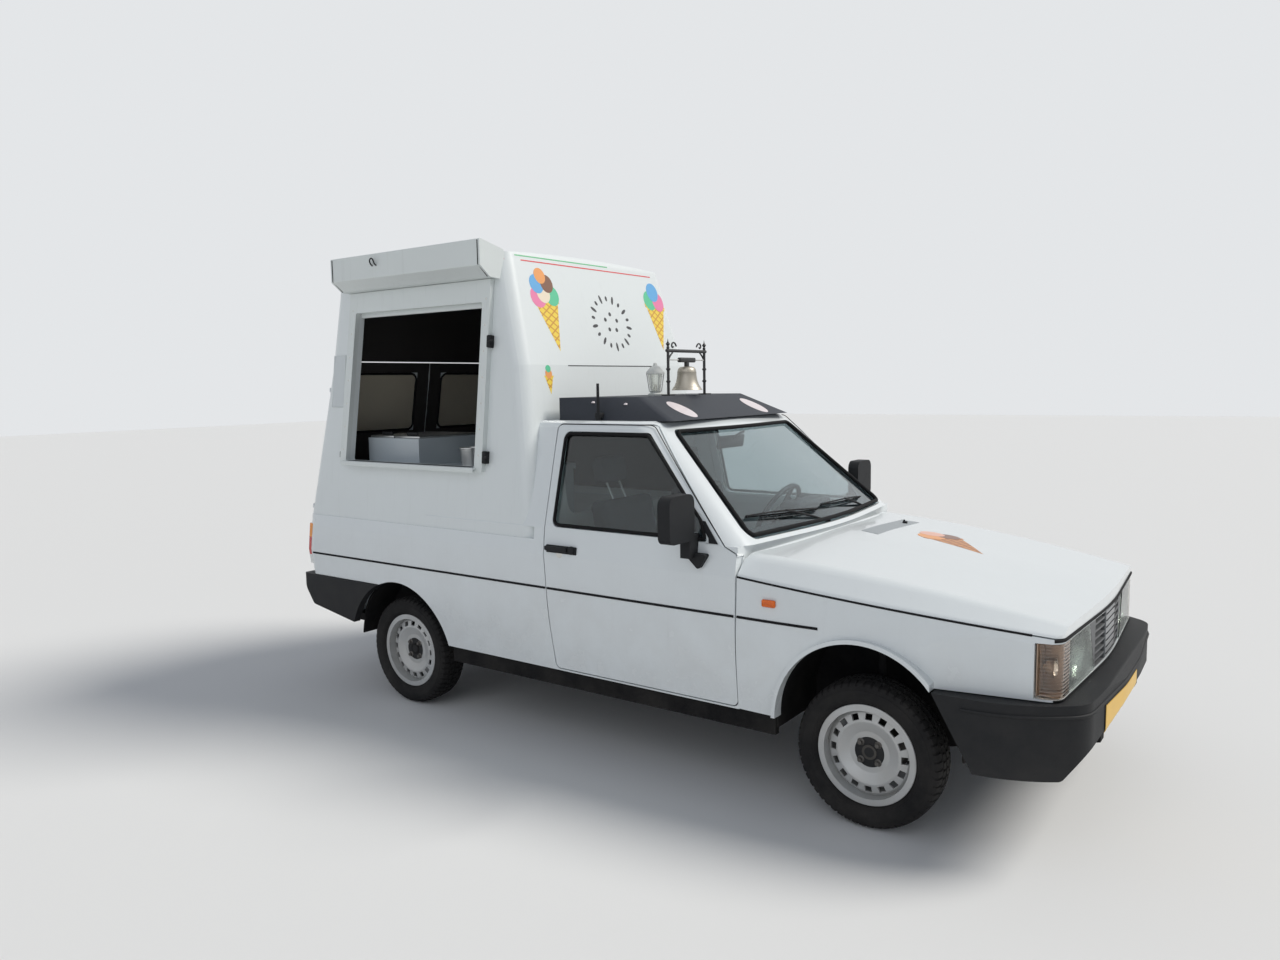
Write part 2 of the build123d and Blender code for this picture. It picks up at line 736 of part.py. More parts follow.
slat_step = (lamp_top_z - lamp_low_z) / grille_slats
slat_gap = slat_step - grille_slat_height
slat_gaps = Part()
for i in range(grille_slats):
    low = lamp_low_z + (i + 0.5) * slat_step - slat_gap / 2
    slat_gaps = slat_gaps + block(lamp_zone_x, far, grille_bar_half, grille_slat_end_y, low, low + slat_gap)
save("grille", grille_band - both(slat_gaps))

# Wheelhouses: inverted troughs over the wheels, closed towards the middle
def trough(axle_x, centre_z, radius, inner_y, low_z):
    arch = rod((axle_x, inner_y, centre_z), (axle_x, far, centre_z), radius)
    arch = arch & block(-far, far, 0, far, centre_z, far)
    return arch + block(axle_x - radius, axle_x + radius, inner_y, far, low_z, centre_z)


front_room_radius = front_arch_radius + wheelhouse_clearance
front_trough = trough(front_axle_x, front_arch_z, front_room_radius + wheelhouse_wall,
                      front_house_y - wheelhouse_wall, floor_low_z) & wing_hollow
front_house = front_trough - trough(front_axle_x, front_arch_z, front_room_radius, front_house_y, 0)
rear_trough = trough(rear_axle_x, rear_arch_z, rear_arch_radius + wheelhouse_wall,
                     rear_house_y - wheelhouse_wall, floor_low_z) & inside_body
rear_house = rear_trough - trough(rear_axle_x, rear_arch_z, rear_arch_radius, rear_house_y, 0)
rear_house = rear_house & block(-far, far, 0, far, floor_low_z, far)

# Bumpers: plan view and side view crossed, then hollowed from inside
front_bumper_plan = [(front_axle_x + 200, -bumper_half, 0), (nose_corner_x - 110, -bumper_half + 14, 500),
                     (nose_corner_x + 82, -650, 130), (end_x, -160, 900), (end_x, 160, 900),
                     (nose_corner_x + 82, 650, 130), (nose_corner_x - 110, bumper_half - 14, 500),
                     (front_axle_x + 200, bumper_half, 0)]
front_bumper_side = [(front_axle_x + 414, front_bumper_low_z, 0), (end_x - 105, front_bumper_low_z, 20),
                     (end_x - 28, front_bumper_low_z + 105, 60), (end_x, front_bumper_low_z + 150, 40),
                     (end_x, front_bumper_top_z - 30, 12), (end_x - 18, front_bumper_top_z, 10),
                     (front_axle_x + 270, front_bumper_top_z, 0)]
rear_end_x = rear_axle_x - rear_overhang
rear_bumper_plan = [(rear_axle_x - 150, bumper_half, 0), (rear_end_x, bumper_half, rear_bumper_radius),
                    (rear_end_x, -bumper_half, rear_bumper_radius), (rear_axle_x - 150, -bumper_half, 0)]
rear_bumper_side = [(rear_axle_x, rear_bumper_top_z, 0), (rear_end_x + 8, rear_bumper_top_z, 8),
                    (rear_end_x, rear_bumper_top_z - 10, 8), (rear_end_x + 8, rear_bumper_top_z - 50, 60),
                    (rear_end_x + 98, rear_bumper_low_z + 75, 30), (rear_axle_x - 264, rear_bumper_low_z, 0),
                    (rear_axle_x, rear_bumper_low_z, 0)]


def bumper(plan_rows, profile_rows, low_z, top_z, open_run):
    """Moulding open underneath and towards the wheels, with open_run the reach of that opening along X."""
    whole = plan(plan_rows, low_z, top_z) & side(profile_rows, -far, far)

    def room(wall, z1):
        rows = inset(plan_rows, wall)
        ends = (0, len(rows) - 1)
        rows = [(x + open_run if i in ends else x, y, r) for i, (x, y, r) in enumerate(rows)]
        return plan(rows, low_z - 1, z1)

    return whole - room(bumper_wall, top_z - bumper_wall) - room(bumper_shelf, top_z + 1)


front_bumper = bumper(front_bumper_plan, front_bumper_side, front_bumper_low_z, front_bumper_top_z, -400)
save("front_bumper", front_bumper - both(front_trough))
rear_bumper = bumper(rear_bumper_plan, rear_bumper_side, rear_bumper_low_z, rear_bumper_top_z, 400)
save("rear_bumper", rear_bumper - rear_arch - both(rear_trough))

# Shutter frame on the outside of the hatch and the housing above it
rail_zone_rows = [(-box_side_y(seam_z) - rail_depth, seam_z, 0), (-box_side_y(seam_z), seam_z, 0),
                  (-box_side_y(box_eaves_z), box_eaves_z, 0),
                  (-box_side_y(box_eaves_z) - rail_depth, box_eaves_z, 0)]
rail_zone = front(rail_zone_rows, -far, far)
frame_low_z = hatch_low_z - 20
frame_rows = [(hatch_rear_x - rail_width, frame_low_z, 0), (hatch_front_x + rail_width, frame_low_z, 0),
              (hatch_front_top_x + rail_width, housing_low_z, 0),
              (hatch_rear_top_x - rail_width, housing_low_z, 0)]
shutter_frame = side(frame_rows, -far, 0) & rail_zone
shutter_frame = shutter_frame - hatch_cut
save("shutter_frame", shutter_frame)
housing_rows = [(-housing_outer_y, housing_top_z, 8), (-housing_outer_y, housing_low_z + 55, 8),
                (-housing_outer_y + 62, housing_low_z + 6, 8),
                (-box_side_y(housing_low_z) - 1, housing_low_z, 0),
                (-housing_inner_y, housing_low_z, 0), (-housing_inner_y, housing_top_z - 40, 0)]
housing = front(housing_rows, hatch_rear_top_x - rail_width - housing_overlap,
                hatch_front_top_x + rail_width + housing_overlap)
save("shutter_housing", housing - box_outer)

# Freezer counter behind the hatch
counter_y = box_wall + 60 - box_side_y(hatch_low_z)
counter_rear_x = hatch_rear_x - 30
counter_front_x = hatch_front_x + 60
counter_z = hatch_low_z - counter_drop
house_radius = rear_arch_radius + wheelhouse_wall
counter = block(counter_rear_x, counter_front_x, counter_y, counter_y + counter_depth,
                floor_top_z, counter_z - 30)
counter = counter - block(rear_axle_x - house_radius, rear_axle_x + house_radius,
                          -far, wheelhouse_wall - rear_house_y, 0, rear_arch_z + house_radius)
counter_top = block(counter_rear_x, counter_front_x, counter_y, counter_y + counter_depth + counter_overhang,
                    counter_z - 30, counter_z)
freezer_rear_x = counter_rear_x + freezer_rear_gap
freezer_box = block(freezer_rear_x, freezer_rear_x + freezer_length, counter_y + 60, counter_y + 520,
                    counter_z, counter_z + freezer_height)
save("freezer_counter", counter + counter_top + freezer_box)

# Floor with black rockers along its sides, and the wheelhouses
front_arch_end = front_axle_x - front_room_radius - wheelhouse_wall
floor = block(box_rear_x + body_wall, front_arch_end, -floor_half, floor_half, floor_low_z, floor_top_z)
rocker = block(rear_axle_x + rear_arch_radius, front_arch_end, floor_half, rocker_outer_y,
               rocker_low_z, sill_z)
tail_margin = block(-far, rear_axle_x - house_radius, tail_floor_half, far, floor_low_z, floor_top_z)
floor_pan = (floor - both(tail_margin)) + both(rocker)
floor_pan = floor_pan - both(block(rear_axle_x - house_radius, rear_axle_x + house_radius,
                                   rear_house_y - wheelhouse_wall, far, 0, sill_z + 1))
tow_rear_x = box_rear_x + body_wall + 42
tow_rear_rows = [(tow_rear_x - 42, floor_low_z, 0), (tow_rear_x - 36, tow_z - 32, 30),
                 (tow_rear_x + 36, tow_z - 32, 30), (tow_rear_x + 90, floor_low_z, 0)]
tow_lug_rear = side(tow_rear_rows, rail_inner_y, rail_inner_y + tow_plate)
tow_hole_rear = rod((tow_rear_x, 0, tow_z), (tow_rear_x, far, tow_z), tow_eye_radius)
save("floor_pan", floor_pan + (tow_lug_rear - tow_hole_rear))
save("wheelhouses", both(front_house) + both(rear_house))

# Wheels: made about the Y axis at the origin, then set at each corner
half_seat = rim_seat_width / 2
half_tyre = tyre_width / 2
half_tread = tyre_tread_width / 2
tyre_rows = [(-half_seat, rim_seat_radius, 0), (half_seat, rim_seat_radius, 0),
             (half_seat, rim_flange_radius + 2, 6), (half_tyre, rim_flange_radius + 32, 30),
             (half_tread + 10, tyre_radius - 12, 14), (half_tread - 8, tyre_radius, 12),
             (-half_tread + 8, tyre_radius, 12), (-half_tread - 10, tyre_radius - 12, 14),
             (-half_tyre, rim_flange_radius + 32, 30), (-half_seat, rim_flange_radius + 2, 6)]
tyre = turned(tyre_rows)
well = rim_seat_radius - rim_wall
rim_rows = [(-half_seat - flange_thickness, rim_flange_radius, 3), (-half_seat - flange_thickness, well, 0),
            (8, well, 0), (24, vent_radius + 12, 10), (34, vent_radius - 20, 12), (18, 84, 12),
            (18, hub_bore_radius, 0), (26, hub_bore_radius, 0), (26, 80, 12), (42, vent_radius - 20, 12),
            (33, vent_radius + 15, 10), (18, well, 0), (half_seat + flange_thickness, well, 0),
            (half_seat + flange_thickness, rim_flange_radius, 3),
            (half_seat, rim_flange_radius, 3), (half_seat, rim_seat_radius, 0),
            (-half_seat, rim_seat_radius, 0), (-half_seat, rim_flange_radius, 3)]
rim = turned(rim_rows)
vent = block(-vent_length / 2, vent_length / 2, 0, 80,
             vent_radius - vent_width / 2, vent_radius + vent_width / 2)
for i in range(vent_slots):
    rim = rim - Rot(0, i * 360 / vent_slots, 0) * vent
stub_radius = hub_bore_radius - hub_bore_clearance
knuckle = rod((0, steer_axis_y, arm_top_z), (0, steer_axis_y, strut_low_z - 1), kingpin_radius)
knuckle = knuckle + rod((0, steer_axis_y, tyre_radius), (0, wheel_y + 30, tyre_radius), stub_radius)
knuckle = knuckle + rod((0, steer_axis_y + 28, tyre_radius), (0, wheel_y + 8, tyre_radius), drum_radius)
knuckle = knuckle + block(-120, 0, steer_axis_y - 14, steer_axis_y + 8, tyre_radius - 12, tyre_radius + 8)
corners = [("front", front_axle_x), ("rear", rear_axle_x)]
for place, axle_x in corners:
    left_tyre = Pos(axle_x, wheel_y, tyre_radius) * tyre
    left_rim = Pos(axle_x, wheel_y, tyre_radius) * rim
    save(f"tyre_{place}_left", left_tyre)
    save(f"tyre_{place}_right", mirrored(left_tyre))
    save(f"rim_{place}_left", left_rim)
    save(f"rim_{place}_right", mirrored(left_rim))
left_knuckle = Pos(front_axle_x, 0, 0) * knuckle
save("knuckle_left", left_knuckle)
save("knuckle_right", mirrored(left_knuckle))

# Front subframe: cross member, lower arms, fixed strut tubes and the towing lug
cross = block(front_axle_x - cross_half_length, front_axle_x + cross_half_length, -cross_half, cross_half,
              arm_low_z, arm_low_z + cross_height)
arm = plan([(front_axle_x - arm_half_length, arm_inner_y, 0),
            (front_axle_x + arm_half_length, arm_inner_y, 0),
            (front_axle_x + 26, steer_axis_y + 20, 18), (front_axle_x - 26, steer_axis_y + 20, 18)],
           arm_low_z, arm_top_z)
strut = rod((front_axle_x, steer_axis_y, strut_low_z),
            (front_axle_x, steer_axis_y, front_arch_z + front_room_radius + 2), kingpin_radius)
strut = strut - front_house
rail_rows = [(front_axle_x - 100, arm_low_z + 62, 60), (front_axle_x + 100, arm_low_z + 62, 60),
             (rail_end_x, floor_low_z + 60, 0), (rail_end_x, floor_low_z + 60 + rail_height, 0),
             (front_arch_end, floor_top_z, 0), (front_arch_end, floor_low_z, 0)]
long_rail = side(rail_rows, rail_inner_y, rail_inner_y + rail_thickness) - front_bumper
tow_rows = [(tow_front_x - 60, floor_low_z + 55, 0), (tow_front_x - 32, tow_z - 32, 30),
            (tow_front_x + 32, tow_z - 32, 30), (tow_front_x + 40, floor_low_z + 70, 0)]
tow_lug = side(tow_rows, rail_inner_y, rail_inner_y + tow_plate)
tow_lug = tow_lug - rod((tow_front_x, 0, tow_z), (tow_front_x, far, tow_z), tow_eye_radius)
save("front_subframe", cross + both(arm) + both(strut) + both(long_rail) + tow_lug)

# Rear axle on two leaf springs
spring_end_z = floor_low_z - 18
spring_low_z = tyre_radius - beam_radius - 44
spring_rows = [(rear_axle_x - spring_half_length, spring_end_z, 0),
               (rear_axle_x, spring_low_z, spring_radius),
               (rear_axle_x + spring_half_length, spring_end_z, 0),
               (rear_axle_x + spring_half_length, spring_end_z + spring_leaf, 0),
               (rear_axle_x, spring_low_z + spring_leaf, spring_radius),
               (rear_axle_x - spring_half_length, spring_end_z + spring_leaf, 0)]
spring_inner_y = spring_y - spring_width / 2
spring_outer_y = spring_y + spring_width / 2
spring = side(spring_rows, spring_inner_y, spring_outer_y)
spring_pad = block(rear_axle_x - spring_pad_half, rear_axle_x + spring_pad_half,
                   spring_inner_y, spring_outer_y, tyre_radius - beam_radius - 30, tyre_radius)
spring_ends = Part()
for end in (-1, 1):
    centre = rear_axle_x + end * (spring_half_length - spring_block)
    spring_ends = spring_ends + block(centre - spring_block, centre + spring_block,
                                      spring_inner_y, spring_outer_y, floor_low_z - 14, floor_low_z)
rear_hub = rod((rear_axle_x, wheel_y - 78, tyre_radius), (rear_axle_x, wheel_y + 8, tyre_radius), drum_radius)
rear_stub = rod((rear_axle_x, 500, tyre_radius), (rear_axle_x, wheel_y + 30, tyre_radius), stub_radius)
beam = rod((rear_axle_x, -560, tyre_radius), (rear_axle_x, 560, tyre_radius), beam_radius)
save("rear_axle", beam + both(spring + spring_pad + spring_ends + rear_hub + rear_stub))

# Engine block, fuel tank and exhaust
save("engine", block(engine_rear_x, engine_front_x, engine_right_y, engine_left_y,
                     arm_low_z + cross_height, engine_top_z))
tank = plan([(tank_rear_x, tank_inner_y, 60), (tank_rear_x + tank_length, tank_inner_y, 60),
             (tank_rear_x + tank_length, tank_outer_y, 60), (tank_rear_x, tank_outer_y, 60)],
            floor_low_z - tank_height, floor_low_z)
save("fuel_tank", tank)
pipe_points = [(engine_rear_x, exhaust_y, pipe_start_z), (engine_rear_x - 80, exhaust_y, pipe_start_z),
               (engine_rear_x - 200, exhaust_y, pipe_z), (silencer_front_x - 10, exhaust_y, pipe_z)]
pipe_route = FilletPolyline(*pipe_points, radius=60)
pipe_ring = Plane(origin=pipe_route @ 0, z_dir=pipe_route % 0) * Circle(pipe_radius)
pipe = Part() + sweep(pipe_ring, path=pipe_route)
silencer_right_y = exhaust_y - silencer_half
silencer_left_y = exhaust_y + silencer_half
silencer_rows = [(silencer_right_y, silencer_low_z, 40), (silencer_left_y, silencer_low_z, 40),
                 (silencer_left_y, silencer_top_z, 40), (silencer_right_y, silencer_top_z, 40)]
silencer = front(silencer_rows, silencer_rear_x, silencer_front_x)
tail_pipe = rod((silencer_rear_x, exhaust_y, pipe_z), (rear_end_x + 30, exhaust_y, pipe_z), pipe_radius)
hanger = block(silencer_rear_x + 120, silencer_rear_x + 150, exhaust_y - 15, exhaust_y + 15,
               silencer_top_z - 5, floor_low_z)
save("exhaust", pipe + silencer + tail_pipe + hanger)

# Dashboard with the steering column, the steering wheel, and the seats
dash_rows = [(firewall_x - cab_wall, dash_low_z, 0), (firewall_x - cab_wall, belt_z - 10, 0),
             (door_front_x - 220, belt_z - 5, 50), (door_front_x - 315, belt_z - 110, 50),
             (door_front_x - 270, dash_low_z, 30)]
dash = side(dash_rows, -belt_half + dash_inset, belt_half - dash_inset)
axis = Vector(-math.cos(math.radians(steering_tilt)), 0, math.sin(math.radians(steering_tilt)))
wheel_centre = Vector(steering_x, steering_y, steering_z)
column_start = wheel_centre - axis * 30
column_end = wheel_centre - axis * 260
save("dashboard", dash + rod(tuple(column_start), tuple(column_end), column_radius))
wheel_plane = Plane(origin=tuple(wheel_centre), x_dir=(0, 1, 0), z_dir=tuple(axis))
grip = wheel_plane * (Part() + Solid.make_torus(steering_radius - grip_radius, grip_radius))
boss = wheel_plane * Pos(0, 0, -25) * (Part() + Solid.make_cylinder(boss_radius, boss_depth))
spoke = Pos(steering_radius / 2, 0, -4) * Box(steering_radius - 20, 34, 12)
spokes = Part()
for angle in (0, 180, 270):
    spokes = spokes + wheel_plane * Rot(0, 0, angle) * spoke
save("steering_wheel", grip + boss + spokes)
seat_rows = [(door_front_x - 800, seat_low_z, 30), (door_front_x - 380, seat_low_z + 30, 36),
             (door_front_x - 370, seat_top_z, 36), (door_front_x - 770, seat_top_z - 25, 30),
             (door_front_x - 905, seat_back_z, 30), (door_front_x - 1000, seat_back_z - 20, 30),
             (door_front_x - 890, seat_top_z - 50, 40)]
seat = side(seat_rows, seat_inner_y, seat_outer_y)
headrest_rows = [(door_front_x - 1005, headrest_low_z, 20), (door_front_x - 920, headrest_low_z + 15, 20),
                 (door_front_x - 950, headrest_top_z, 22), (door_front_x - 1030, headrest_top_z - 15, 22)]
headrest = side(headrest_rows, headrest_inner_y, headrest_outer_y)
post_rows = [(door_front_x - 975, seat_back_z - 30, 0), (door_front_x - 945, seat_back_z - 25, 0),
             (door_front_x - 960, headrest_low_z + 25, 0), (door_front_x - 990, headrest_low_z + 20, 0)]
seat_middle_y = (headrest_inner_y + headrest_outer_y) / 2
rest_post = side(post_rows, seat_middle_y - 20, seat_middle_y + 20)
seat_base = block(door_front_x - 780, door_front_x - 440, seat_inner_y + seat_base_inset,
                  seat_outer_y - seat_base_inset, floor_top_z, seat_base_z)
save("seats", both(seat + headrest + rest_post + seat_base))

# Roof deflector, bell stand and bell
deflector_levels = [(cab_top_z, deflector_front_x, deflector_half),
                    (deflector_top_z, deflector_top_front_x, deflector_top_half)]
deflector_wires = []
for z, front_x, half in deflector_levels:
    level_rows = [(deflector_rear_x, -deflector_half, 0), (front_x, -half, 30), (front_x, half, 30),
                  (deflector_rear_x, deflector_half, 0)]
    deflector_wires.append(outline(level_rows, lambda x, y, z=z: (x, y, z)))
deflector = Part() + Solid.make_loft(deflector_wires, ruled=True)
save("roof_deflector", deflector - box_outer)
post = rod((bell_x, stand_half, deflector_top_z), (bell_x, stand_half, stand_top_z + 20), stand_post_radius)
foot = block(bell_x - 25, bell_x + 25, stand_half - 20, stand_half + 25, deflector_top_z, deflector_top_z + 6)
stand_top = rod((bell_x, -stand_half - 12, stand_top_z), (bell_x, stand_half + 12, stand_top_z), 8)
bell_pin = rod((bell_x, -far, bell_axis_z), (bell_x, far, bell_axis_z), 3.5)
save("bell_stand", (both(post + foot) - bell_pin) + stand_top)
crown_z = bell_mouth_z + bell_height
bell_rows = [(0, crown_z - 6, 0), (40, crown_z - 6, 12), (46, bell_mouth_z + 70, 60),
             (bell_mouth_radius - 8, bell_mouth_z, 0), (bell_mouth_radius, bell_mouth_z, 0),
             (54, bell_mouth_z + 72, 60), (46, crown_z, 12), (0, crown_z, 0)]
bell_face = Face(outline(bell_rows, lambda r, z: (r, 0, z)))
bell = Part() + Solid.revolve(bell_face, 360, Axis.Z)
bell = Pos(bell_x, 0, 0) * bell
clapper = rod((bell_x, 0, crown_z - 2), (bell_x, 0, bell_mouth_z + 30), 4)
clapper = clapper + Pos(bell_x, 0, bell_mouth_z + 24) * Sphere(13)
yoke = block(bell_x - 9, bell_x + 9, -60, 60, bell_axis_z - 12, bell_axis_z + 12)
yoke = yoke + block(bell_x - 9, bell_x + 9, -12, 12, crown_z - 1, bell_axis_z)
yoke = yoke + rod((bell_x, -stand_half, bell_axis_z), (bell_x, stand_half, bell_axis_z), 3)
save("bell", bell + clapper + yoke)

# Tail lamps on the rear posts
lamp_outer = box_side_y(tail_belly_z) - tail_lamp_edge
lamp_rows = [(lamp_outer - tail_lamp_width, tail_lamp_low_z, 6), (lamp_outer, tail_lamp_low_z, 6),
             (lamp_outer - tail_lamp_slant, tail_lamp_top_z, 6),
             (lamp_outer - tail_lamp_slant - tail_lamp_width, tail_lamp_top_z, 6)]
lamp_zone = front(lamp_rows, -far, rear_axle_x)
tail_lamp = (tail_solid(tail_lamp_proud) - tail_solid(0)) & lamp_zone
save("tail_lamps", both(tail_lamp))
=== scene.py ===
"""Finishes and small fittings of a delivery van with a raised vending box, built around its solids."""

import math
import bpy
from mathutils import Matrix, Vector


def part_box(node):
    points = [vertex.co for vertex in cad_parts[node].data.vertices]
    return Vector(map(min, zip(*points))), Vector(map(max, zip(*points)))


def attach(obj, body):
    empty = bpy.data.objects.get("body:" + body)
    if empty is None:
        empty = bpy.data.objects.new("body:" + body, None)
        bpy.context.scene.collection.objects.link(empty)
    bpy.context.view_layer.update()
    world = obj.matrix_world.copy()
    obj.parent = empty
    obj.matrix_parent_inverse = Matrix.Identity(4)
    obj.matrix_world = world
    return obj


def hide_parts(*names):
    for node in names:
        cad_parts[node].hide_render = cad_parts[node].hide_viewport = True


bl_info = {
    "name": "Ice cream van finishes",
    "version": (1, 0, 0),
    "blender": (4, 5, 0),
    "location": "View3D > Sidebar > Van",
    "description": "Paint, trim, lamps, decals, seats and fittings of a small vending van",
    "category": "Object",
}

import bmesh
import bpy
from bpy.props import FloatProperty, FloatVectorProperty, IntProperty, PointerProperty
from mathutils import Matrix, Vector
from mathutils.bvhtree import BVHTree

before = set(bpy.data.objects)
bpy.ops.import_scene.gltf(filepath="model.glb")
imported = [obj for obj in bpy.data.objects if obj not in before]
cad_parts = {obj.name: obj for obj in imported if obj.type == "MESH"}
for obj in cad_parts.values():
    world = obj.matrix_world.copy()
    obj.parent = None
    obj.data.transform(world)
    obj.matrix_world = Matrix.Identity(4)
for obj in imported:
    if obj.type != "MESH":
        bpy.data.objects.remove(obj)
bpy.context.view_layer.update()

CAMERA_PLACE = (2.636, -3.967, 1.693)
CAMERA_YAW = 36.12
CAMERA_PITCH = -5.89
CAMERA_ROLL = -0.95
CAMERA_LENS = 26.325
ALONG_X = Matrix.Rotation(math.radians(90), 4, "Y")
ALONG_MINUS_X = Matrix.Rotation(math.radians(-90), 4, "Y")
OUTWARD = {side: Matrix.Rotation(math.radians(-90 * side), 4, "X") for side in (-1, 1)}
FRONT_VIEW = Matrix(((0, 0, 1, 0), (1, 0, 0, 0), (0, 1, 0, 0), (0, 0, 0, 1)))
REAR_VIEW = Matrix(((0, 0, -1, 0), (1, 0, 0, 0), (0, 1, 0, 0), (0, 0, 0, 1)))
RIGHT_VIEW = Matrix(((1, 0, 0, 0), (0, 0, -1, 0), (0, 1, 0, 0), (0, 0, 0, 1)))
SIDES = ((-1, "right"), (1, "left"))
AXLES = (("front", 1.305), ("rear", -1.275))
AXLE_Z = 0.286
WHEEL_Y = 0.668
SEAT_Y = 0.340
STRIP_Z = 0.765
LAMP_Z = 0.707
LAMP_LOW = 0.611
LAMP_TOP = 0.803
HATCH_LEAN = 0.0948
HATCH_LOW = 1.301
MERGE_GAP = 0.00001
STAND_X = 0.043
STAND_Y = 0.165
trees = {}
finishes = {}


def colour_setting(name, description, value):
    return FloatVectorProperty(name=name, description=description, subtype="COLOR", size=3, min=0, max=1,
                               default=value)


def length_setting(name, description, value):
    return FloatProperty(name=name, description=description, unit="LENGTH", min=0, default=value)


class VanColours(bpy.types.PropertyGroup):
    paint: colour_setting("Body paint", "Paint of the lower body and the cab", (0.74, 0.78, 0.79))
    panel: colour_setting("Box panels", "Paint of the vending box", (0.75, 0.79, 0.79))
    trim: colour_setting("Trim", "Black grained mouldings", (0.013, 0.014, 0.016))
    slate: colour_setting("Roof deflector", "Weathered moulding over the cab", (0.036, 0.041, 0.052))
    rim: colour_setting("Wheel paint", "Light paint of the steel wheels", (0.52, 0.53, 0.53))
    dust: colour_setting("Dust", "Road dust on the lower body", (0.36, 0.33, 0.29))
    plate: colour_setting("Plate", "Blank registration plates", (0.80, 0.47, 0.02))
    seat: colour_setting("Seat cloth", "Woven cloth of the seats", (0.075, 0.08, 0.095))


class VanSizes(bpy.types.PropertyGroup):
    strip: length_setting("Side strip", "Half height of the thin black strip along the sides", 0.0055)
    gasket: length_setting("Gasket", "Radius of the rubber round the windscreen", 0.0095)
    window_gasket: length_setting("Window gasket", "Radius of the rubber round the door glass", 0.0075)
    tread: length_setting("Tread depth", "Depth of the grooves in the tyres", 0.0065)
    decal: length_setting("Decal", "Thickness of the printed foil", 0.0006)
    tread_steps: IntProperty(name="Tread steps", description="Steps round each tyre", default=168, min=24)
    pad_pressure: FloatProperty(name="Pad pressure", description="How full the seat pads are", default=4.0)


# Surfaces of the solids
def tree_of(node):
    if node not in trees:
        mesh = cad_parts[node].data
        trees[node] = BVHTree.FromPolygons([v.co for v in mesh.vertices], [p.vertices for p in mesh.polygons])
    return trees[node]


def seen(node, start, direction):
    return tree_of(node).ray_cast(Vector(start), Vector(direction))[0]


def hit(node, start, direction):
    place = seen(node, start, direction)
    if place is None:
        raise RuntimeError(f"nothing of {node} lies ahead of {tuple(start)}")
    return place


def on_side(node, x, z, side):
    return hit(node, (x, side * 3, z), (0, -side, 0))


def on_front(node, y, z):
    return hit(node, (4, y, z), (-1, 0, 0))


def on_top(node, x, y):
    return hit(node, (x, y, 5), (0, 0, -1))


def round_nose(node, z, widest, steps=72):
    """Points on a node's outer face at a height, from one side round the nose to the other."""
    found = []
    for i in range(steps + 1):
        angle = math.radians(widest * (2 * i / steps - 1))
        out = Vector((math.cos(angle), math.sin(angle), 0))
        place = seen(node, Vector((1.3, 0.0004, z)) + out * 3, -out)
        if place:
            found.append(place)
    return found


def drape(bm, nodes, direction, reach=3.0):
    """Lays a flat shape on nodes, seen from a plane reach before the origin, and drops what misses."""
    direction = Vector(direction)
    loose = []
    for vert in bm.verts:
        height = -vert.co.dot(direction)
        start = vert.co + direction * (height - reach)
        places = [place for place in (seen(node, start, direction) for node in nodes) if place]
        if places:
            vert.co = min(places, key=lambda place: place.dot(direction)) - direction * height
        else:
            loose.append(vert)
    bmesh.ops.delete(bm, geom=loose, context="VERTS")
    return bm


# Small solids
def placed(bm, centre=(0, 0, 0), turn=None):
    if turn is not None:
        bmesh.ops.transform(bm, matrix=turn, verts=bm.verts)
    bmesh.ops.translate(bm, vec=Vector(centre), verts=bm.verts)
    return bm


def soften(bm, width, segments):
    bmesh.ops.bevel(bm, geom=bm.edges[:], offset=width, segments=segments, profile=0.5, affect="EDGES",
                    material=-1)


def cuboid(size, centre, bevel=0.002, turn=None, segments=2):
    bm = bmesh.new()
    bmesh.ops.create_cube(bm, size=1)
    bmesh.ops.scale(bm, vec=Vector(size), verts=bm.verts)
    soften(bm, bevel, segments)
    return placed(bm, centre, turn)


def spun(rows, centre=(0, 0, 0), turn=None, steps=40):
    """Turned solid from rows (radius, height) about Z."""
    bm = bmesh.new()
    verts = [bm.verts.new((radius, 0, height)) for radius, height in rows]
    edges = [bm.edges.new(pair) for pair in zip(verts, verts[1:])]
    bmesh.ops.spin(bm, geom=verts + edges, cent=(0, 0, 0), axis=(0, 0, 1), dvec=(0, 0, 0),
                   angle=2 * math.pi, steps=steps, use_merge=True, use_duplicate=False)
    bmesh.ops.remove_doubles(bm, verts=bm.verts, dist=MERGE_GAP)
    return placed(bm, centre, turn)


def rod(start, end, radius, sides=16, tip=None):
    run = Vector(end) - Vector(start)
    bm = bmesh.new()
    bmesh.ops.create_cone(bm, cap_ends=True, segments=sides, radius1=radius,
                          radius2=radius if tip is None else tip, depth=run.length)
    turn = run.to_track_quat("Z", "Y").to_matrix().to_4x4()
    return placed(bm, (Vector(start) + Vector(end)) / 2, turn)


def slab(points, thickness, turn=None, cuts=0):
    """Flat plate of an outline in the XY plane, with its thickness along Z."""
    bm = bmesh.new()
    face = bm.faces.new([bm.verts.new((u, v, 0)) for u, v in points])
    if cuts:
        bmesh.ops.triangulate(bm, faces=[face])
        bmesh.ops.subdivide_edges(bm, edges=bm.edges[:], cuts=cuts, use_grid_fill=True)
    raised = bmesh.ops.extrude_face_region(bm, geom=bm.faces[:])
    top = [v for v in raised["geom"] if isinstance(v, bmesh.types.BMVert)]
    bmesh.ops.translate(bm, vec=(0, 0, thickness), verts=top)
    return placed(bm, turn=turn)


def box_outline(u0, u1, v0, v1):
    return [(u0, v0), (u1, v0), (u1, v1), (u0, v1)]


def oval(half_u, half_v, steps=28, centre=(0, 0)):
    return [(centre[0] + half_u * math.cos(2 * math.pi * i / steps),
             centre[1] + half_v * math.sin(2 * math.pi * i / steps)) for i in range(steps)]


